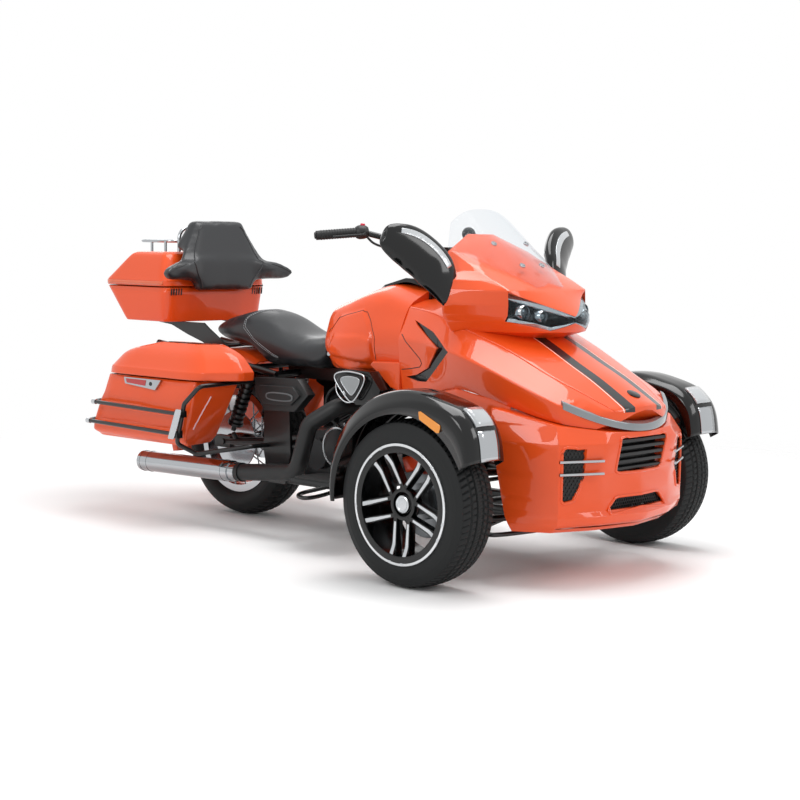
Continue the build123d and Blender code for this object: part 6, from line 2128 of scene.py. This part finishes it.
@dataclass
class Studio:
    """Floor, light and the camera at the photograph's viewing angle."""

    camera_at: Point = (4.699, -4.867, 1.154)
    yaw: float = 2.3218
    pitch: float = -5.30
    roll: float = 0.0139
    lens: float = 78.55
    floor_size: float = 60.0
    # Distances from the middle in metres between which the floor fades
    fade: Pair = (1.9, 4.4)
    # Strength of the surroundings as light, and where the camera, a mirror or glass sees them
    soft_strength: float = 0.66
    seen_strength: float = 1.0
    aim: Point = (0.1, 0.0, 0.5)
    # Name, place and side in metres, power in watts
    lamps: tuple[tuple[str, Point, float, float], ...] = (
        ("overhead", (0.4, 0.4, 4.4), 2.6, 120.0),
        ("front_fill", (4.6, 1.6, 2.9), 1.6, 40.0),
        ("side_fill", (0.6, -4.8, 3.2), 1.8, 60.0),
        ("back_fill", (-4.4, 2.4, 3.0), 2.2, 32.0),
    )

    def build(self) -> None:
        """Makes the floor, the world, the lamps and the camera."""
        bpy.context.scene.view_settings.view_transform = "Standard"
        self.floor()
        self.world()
        for lamp in self.lamps:
            self.lamp(*lamp)
        self.camera()

    def floor(self) -> None:
        """Pale floor that keeps the object's shadow and melts into the white round it."""
        half = self.floor_size / 2 / MM
        plane = shaped("studio_floor", np.array([(-half, -half, 0), (half, -half, 0), (half, half, 0),
                                                 (-half, half, 0)], float),
                       [[0, 1, 2, 3]])
        material = PAINT.base(WHITE_STUDIO)[0]
        tree = material.node_tree
        where = add_node(tree, "ShaderNodeTexCoord")
        far = add_node(tree, "ShaderNodeVectorMath", {0: where.outputs["Object"]}, operation="LENGTH")
        fade = add_node(tree, "ShaderNodeMapRange", {0: far.outputs["Value"], 1: self.fade[0], 2: self.fade[1]},
                        interpolation_type="SMOOTHSTEP")
        gone = add_node(tree, "ShaderNodeBsdfTransparent")
        mixed = add_node(tree, "ShaderNodeMixShader",
                         {0: fade.outputs[0], 1: tree.nodes["Principled BSDF"].outputs[0], 2: gone.outputs[0]})
        tree.links.new(mixed.outputs[0], tree.nodes["Material Output"].inputs["Surface"])
        plane.data.materials.append(material)

    def world(self) -> None:
        """Soft white surroundings: full white where the camera, a mirror or glass sees them, gentler as light."""
        world = bpy.data.worlds.new("studio_white")
        bpy.context.scene.world = world
        world.use_nodes = True
        tree = world.node_tree
        tree.nodes.clear()
        path = add_node(tree, "ShaderNodeLightPath")
        seen = add_node(tree, "ShaderNodeMath", {0: path.outputs["Is Camera Ray"],
                                                 1: path.outputs["Is Glossy Ray"]}, operation="MAXIMUM")
        seen = add_node(tree, "ShaderNodeMath", {0: seen.outputs[0], 1: path.outputs["Is Transmission Ray"]},
                        operation="MAXIMUM")
        soft = add_node(tree, "ShaderNodeBackground", {"Color": (1, 1, 1, 1), "Strength": self.soft_strength})
        white = add_node(tree, "ShaderNodeBackground", {"Color": (1, 1, 1, 1), "Strength": self.seen_strength})
        mixed = add_node(tree, "ShaderNodeMixShader", {0: seen.outputs[0], 1: soft.outputs[0],
                                                       2: white.outputs[0]})
        add_node(tree, "ShaderNodeOutputWorld", {0: mixed.outputs[0]})

    def lamp(self, name: str, at: Point, size: float, power: float) -> None:
        """Square soft lamp aimed at the object's middle.

        Args:
            name: the lamp's name.
            at: its place in metres.
            size: its side in metres.
            power: its power in watts.
        """
        light = bpy.data.lights.new(name, "AREA")
        light.energy = power
        light.size = size
        thing = bpy.data.objects.new(name, light)
        aim = Vector(self.aim) - Vector(at)
        thing.matrix_world = Matrix.Translation(at) @ aim.to_track_quat("-Z", "Y").to_matrix().to_4x4()
        bpy.context.scene.collection.objects.link(thing)

    def camera(self) -> None:
        """Camera with the heading, tilt and roll worked out from the photograph."""
        pitch = radians(self.pitch)
        ahead = Vector((cos(pitch) * cos(self.yaw), cos(pitch) * sin(self.yaw), sin(pitch)))
        right = ahead.cross(Vector((0, 0, 1))).normalized()
        up = right.cross(ahead)
        right, up = right * cos(self.roll) + up * sin(self.roll), up * cos(self.roll) - right * sin(self.roll)
        lens = bpy.data.cameras.new("photo_view")
        lens.lens = self.lens
        lens.sensor_width = 36.0
        lens.clip_end = 200.0
        thing = bpy.data.objects.new("photo_view", lens)
        turn = Matrix((right, up, -ahead)).transposed()
        thing.matrix_world = Matrix.Translation(self.camera_at) @ turn.to_4x4()
        bpy.context.scene.collection.objects.link(thing)
        bpy.context.scene.camera = thing


@dataclass
class FrontWheel:
    """One front wheel and its upright: treaded tyre, two-tone alloy rim with machined spokes, disc and caliper."""

    name: str
    side: int
    # Bead, lip and tread radius, half width at the seat, at the widest line and of the tread, and drop at the shoulder
    tyre: tuple[float, ...] = (178.3, 203.2, 281.0, 80.0, 85.5, 70.0, 11.0)
    # Hub cap as (radius, outward offset)
    cap: Outline = (
        (0.01, 60), (23, 60), (24, 66), (28, 67.5), (29, 70), (26, 72), (22, 71), (20, 69.5), (0.01, 70))
    # Angle of one spoke pair up from straight ahead, and half the distance between its spokes
    pair_angle: float = 51
    pair_spread: float = 29
    pairs: int = 5
    # Radii of a spoke's ends and sections between, its face's offset, the flare and the radii over which it rises
    spoke_span: tuple[float, float, int] = (62, 199, 24)
    spoke_offset: float = 68.6
    flare: float = 19
    flare_span: Pair = (128, 198)
    # Half width at both ends, then the face's section as (share of the half width, depth)
    spoke_half: Pair = (4.6, 8.2)
    spoke_section: Outline = ((-1, 7), (-1, 1), (-0.8, 0), (0.8, 0), (1, 1), (1, 7))
    # Bright edge of the rim: metres from the axle, and metres out from the wheel's middle
    bright_from: Pair = (0.1945, 0.0664)
    # Caliper: its section as (radius, outward offset), and its angles up from straight ahead
    caliper: Outline = ((100, -35), (154, -35), (158, 10), (104, 10))
    caliper_angles: tuple[float, float, int] = (70, 112, 15)
    # The upright's own caliper lies beyond this |Y| and above this Z, in metres
    caliper_from: Pair = (0.559, 0.36)

    def build(self) -> None:
        """Dresses the rim, the disc and the upright, and builds the tyre, the hub cap, the spokes and the caliper."""
        wheel = f"front_wheel_{self.name}"
        dress(f"rim_{self.name}", self.rim_paint(), 1.6)
        dress(f"brake_disc_{self.name}", GROUND_IRON)
        dress(f"knuckle_{self.name}", self.knuckle_paint(), 1.5)
        centre = (FRONT_AXLE[0], self.side * FRONT_AXLE[1], FRONT_AXLE[2])
        Tyre(f"tyre_{self.name}", wheel, centre, self.side, *self.tyre).build()
        cap = turned(f"hub_cap_{self.name}", centre, self.side, list(self.cap), 48, closed=False)
        place(cap, wheel, MACHINED_ALUMINIUM, "alloy")
        self.spoke_faces(np.array(centre))
        angles = np.radians(np.linspace(*self.caliper_angles))[:, None]
        section = soften(np.array(self.caliper, float), 0.2, 5)
        offset = np.broadcast_to(self.side * section[:, 1], (len(angles), len(section)))
        grid = np.stack([section[:, 0] * np.cos(angles), offset, section[:, 0] * np.sin(angles)], axis=-1)
        caliper = surface(f"caliper_{self.name}", grid + np.array(centre))
        place(caliper, f"knuckle_{self.name}_set", CALIPER_ENAMEL, "orange_paint")

    def spoke_faces(self, centre: np.ndarray) -> None:
        """Machined face on each spoke, which flares out by a smooth step to meet the rim's edge.

        Args:
            centre: the wheel's centre in mm.
        """
        start, end, count = self.spoke_span
        r = np.linspace(start, end, count)
        rise = np.clip((r - self.flare_span[0]) / (self.flare_span[1] - self.flare_span[0]), 0, 1)
        top = self.spoke_offset + self.flare * rise * rise * (3 - 2 * rise)
        half = self.spoke_half[0] + (self.spoke_half[1] - self.spoke_half[0]) * (r - start) / (end - start)
        corners = len(self.spoke_section)
        first = np.arange(count * corners).reshape(count, corners)
        loop = np.concatenate([first, first[:, :1]], axis=1)
        quads = np.stack([loop[:-1, :-1], loop[:-1, 1:], loop[1:, 1:], loop[1:, :-1]], axis=-1).reshape(-1, 4)
        outward = np.array([0, self.side, 0])
        points, faces = [], []
        for angle in np.radians(self.pair_angle + 360 / self.pairs * np.arange(self.pairs)):
            along, across = np.array([cos(angle), 0, sin(angle)]), np.array([-sin(angle), 0, cos(angle)])
            for spread in (-self.pair_spread, self.pair_spread):
                path = r[:, None] * along + spread * across + outward * top[:, None]
                ring = [path + across * half[:, None] * share - outward * deep
                        for share, deep in self.spoke_section]
                number = first.size * len(points)
                faces += (quads + number).tolist() + [(first[0] + number).tolist(),
                                                      (first[-1] + number).tolist()]
                points.append((np.stack(ring, axis=1) + centre).reshape(-1, 3))
        spokes = shaped(f"spoke_faces_{self.name}", np.concatenate(points), faces, 30)
        place(spokes, f"front_wheel_{self.name}", MACHINED_ALUMINIUM, "alloy")

    def rim_paint(self) -> Material:
        """Cast wheel painted gloss black, its rim's outer edge machined bright: a mask by distance from the axle.

        Returns:
            The material, made once.
        """
        axle_x, axle_y, axle_z = (value * MM for value in FRONT_AXLE)
        radius, offset = self.bright_from
        rows = (
            ("x", "SUBTRACT", "X", axle_x), ("xx", "MULTIPLY", "x", "x"), ("z", "SUBTRACT", "Z", axle_z),
            ("zz", "MULTIPLY", "z", "z"), ("square", "ADD", "xx", "zz"), ("reach", "SQRT", "square"),
            ("edge", "GREATER_THAN", "reach", radius), ("side", "ABSOLUTE", "Y"),
            ("outer", "GREATER_THAN", "side", axle_y + offset), ("face", "MULTIPLY", "edge", "outer"),
            ("metal", "MULTIPLY", "face", 0.85), ("dull", "MULTIPLY", "face", 0.06),
            ("rough", "ADD", "dull", 0.2),
        )
        return PAINT.patterned("two_tone_alloy", GLOSS_ABS, rows, (("face", "#D9DBDD"),),
                               (("Metallic", "metal"), ("Roughness", "rough")))

    def knuckle_paint(self) -> Material:
        """Black upright whose caliper, above the axle near the disc, is orange enamel.

        Returns:
            The material, made once.
        """
        out, high = self.caliper_from
        rows = (
            ("side", "ABSOLUTE", "Y"), ("out", "GREATER_THAN", "side", out),
            ("high", "GREATER_THAN", "Z", high),
            ("caliper", "MULTIPLY", "out", "high"),
        )
        return PAINT.patterned("knuckle_and_caliper", POWDER_COAT, rows, (("caliper", CALIPER_ENAMEL.colour),))


@dataclass
class FrameDress:
    """Materials for the CAD nodes whose shape is right as it is."""

    black_steel: tuple[str, ...] = ("main_frame", "control_arms", "shocks", "swingarm", "bag_guards",
                                    "handlebar",
                                    "pitman_arm", "steering_head", "tie_rod_right", "tie_rod_left")
    chrome: tuple[str, ...] = ("mufflers", "vent_bars", "luggage_rack", "bag_latches")
    gloss_black: tuple[str, ...] = ("tank_console", "air_cleaner")
    grained_black: tuple[str, ...] = ("side_covers", "dash_panel", "grilles")
    rubber: tuple[str, ...] = ("footboards", "grips")
    orange: dict[str, float] = field(default_factory=lambda: {
        "front_bumper": 3.0, "upper_fairing": 4.0, "rear_fender": 2.0})

    def build(self) -> None:
        """Dresses every node that keeps its CAD shape."""
        for nodes, finish, bevel in ((self.black_steel, POWDER_COAT, 0.0), (self.chrome, CHROME_PLATE, 0.0),
                                     (self.gloss_black, GLOSS_ABS, 1.5), (self.grained_black, GRAINED_ABS, 3.0),
                                     (self.rubber, GRIP_RUBBER, 0.0)):
            for node in nodes:
                dress(node, finish, bevel)
        for node, bevel in self.orange.items():
            dress(node, ORANGE_LACQUER, bevel)
        dress("engine", CAST_ALUMINIUM, 2.0)
        dress("exhaust_pipes", HEAT_PAINT)
        dress("rear_rim", CHROME_PLATE)
        dress("tail_lamp", GRAINED_ABS, 2.0)
        dress("light_strip", STRIP_LENS, 2.0)


def main() -> None:
    """Builds every sub-assembly in order and reports each."""
    logging.basicConfig(level=logging.INFO)
    rear = Tyre("rear_tyre", "rear_wheel", REAR_AXLE, 1, bead=193.3, lip=215.3, radius=311.0, seat_half=60.0,
                wide_half=84.5, tread_half=65.0, drop=18.0, grooves=(-36, 0, 36), blocks=52)
    assemblies = [
        FrameDress(), BodyShell(), *(FrontWheel(name, side) for name, side in SIDES),
        *(Fender(name, side) for name, side in SIDES),
        rear, FuelTank(), Seat(), Backrest(), Luggage(), Mirrors(), Headlights(), Screen(), NoseTrim(),
        Engine(), Controls(),
        RearTrim(), Studio(),
    ]
    for assembly in assemblies:
        assembly.build()
        LOG.info("built %s", type(assembly).__name__)


if __name__ == "__main__":
    main()
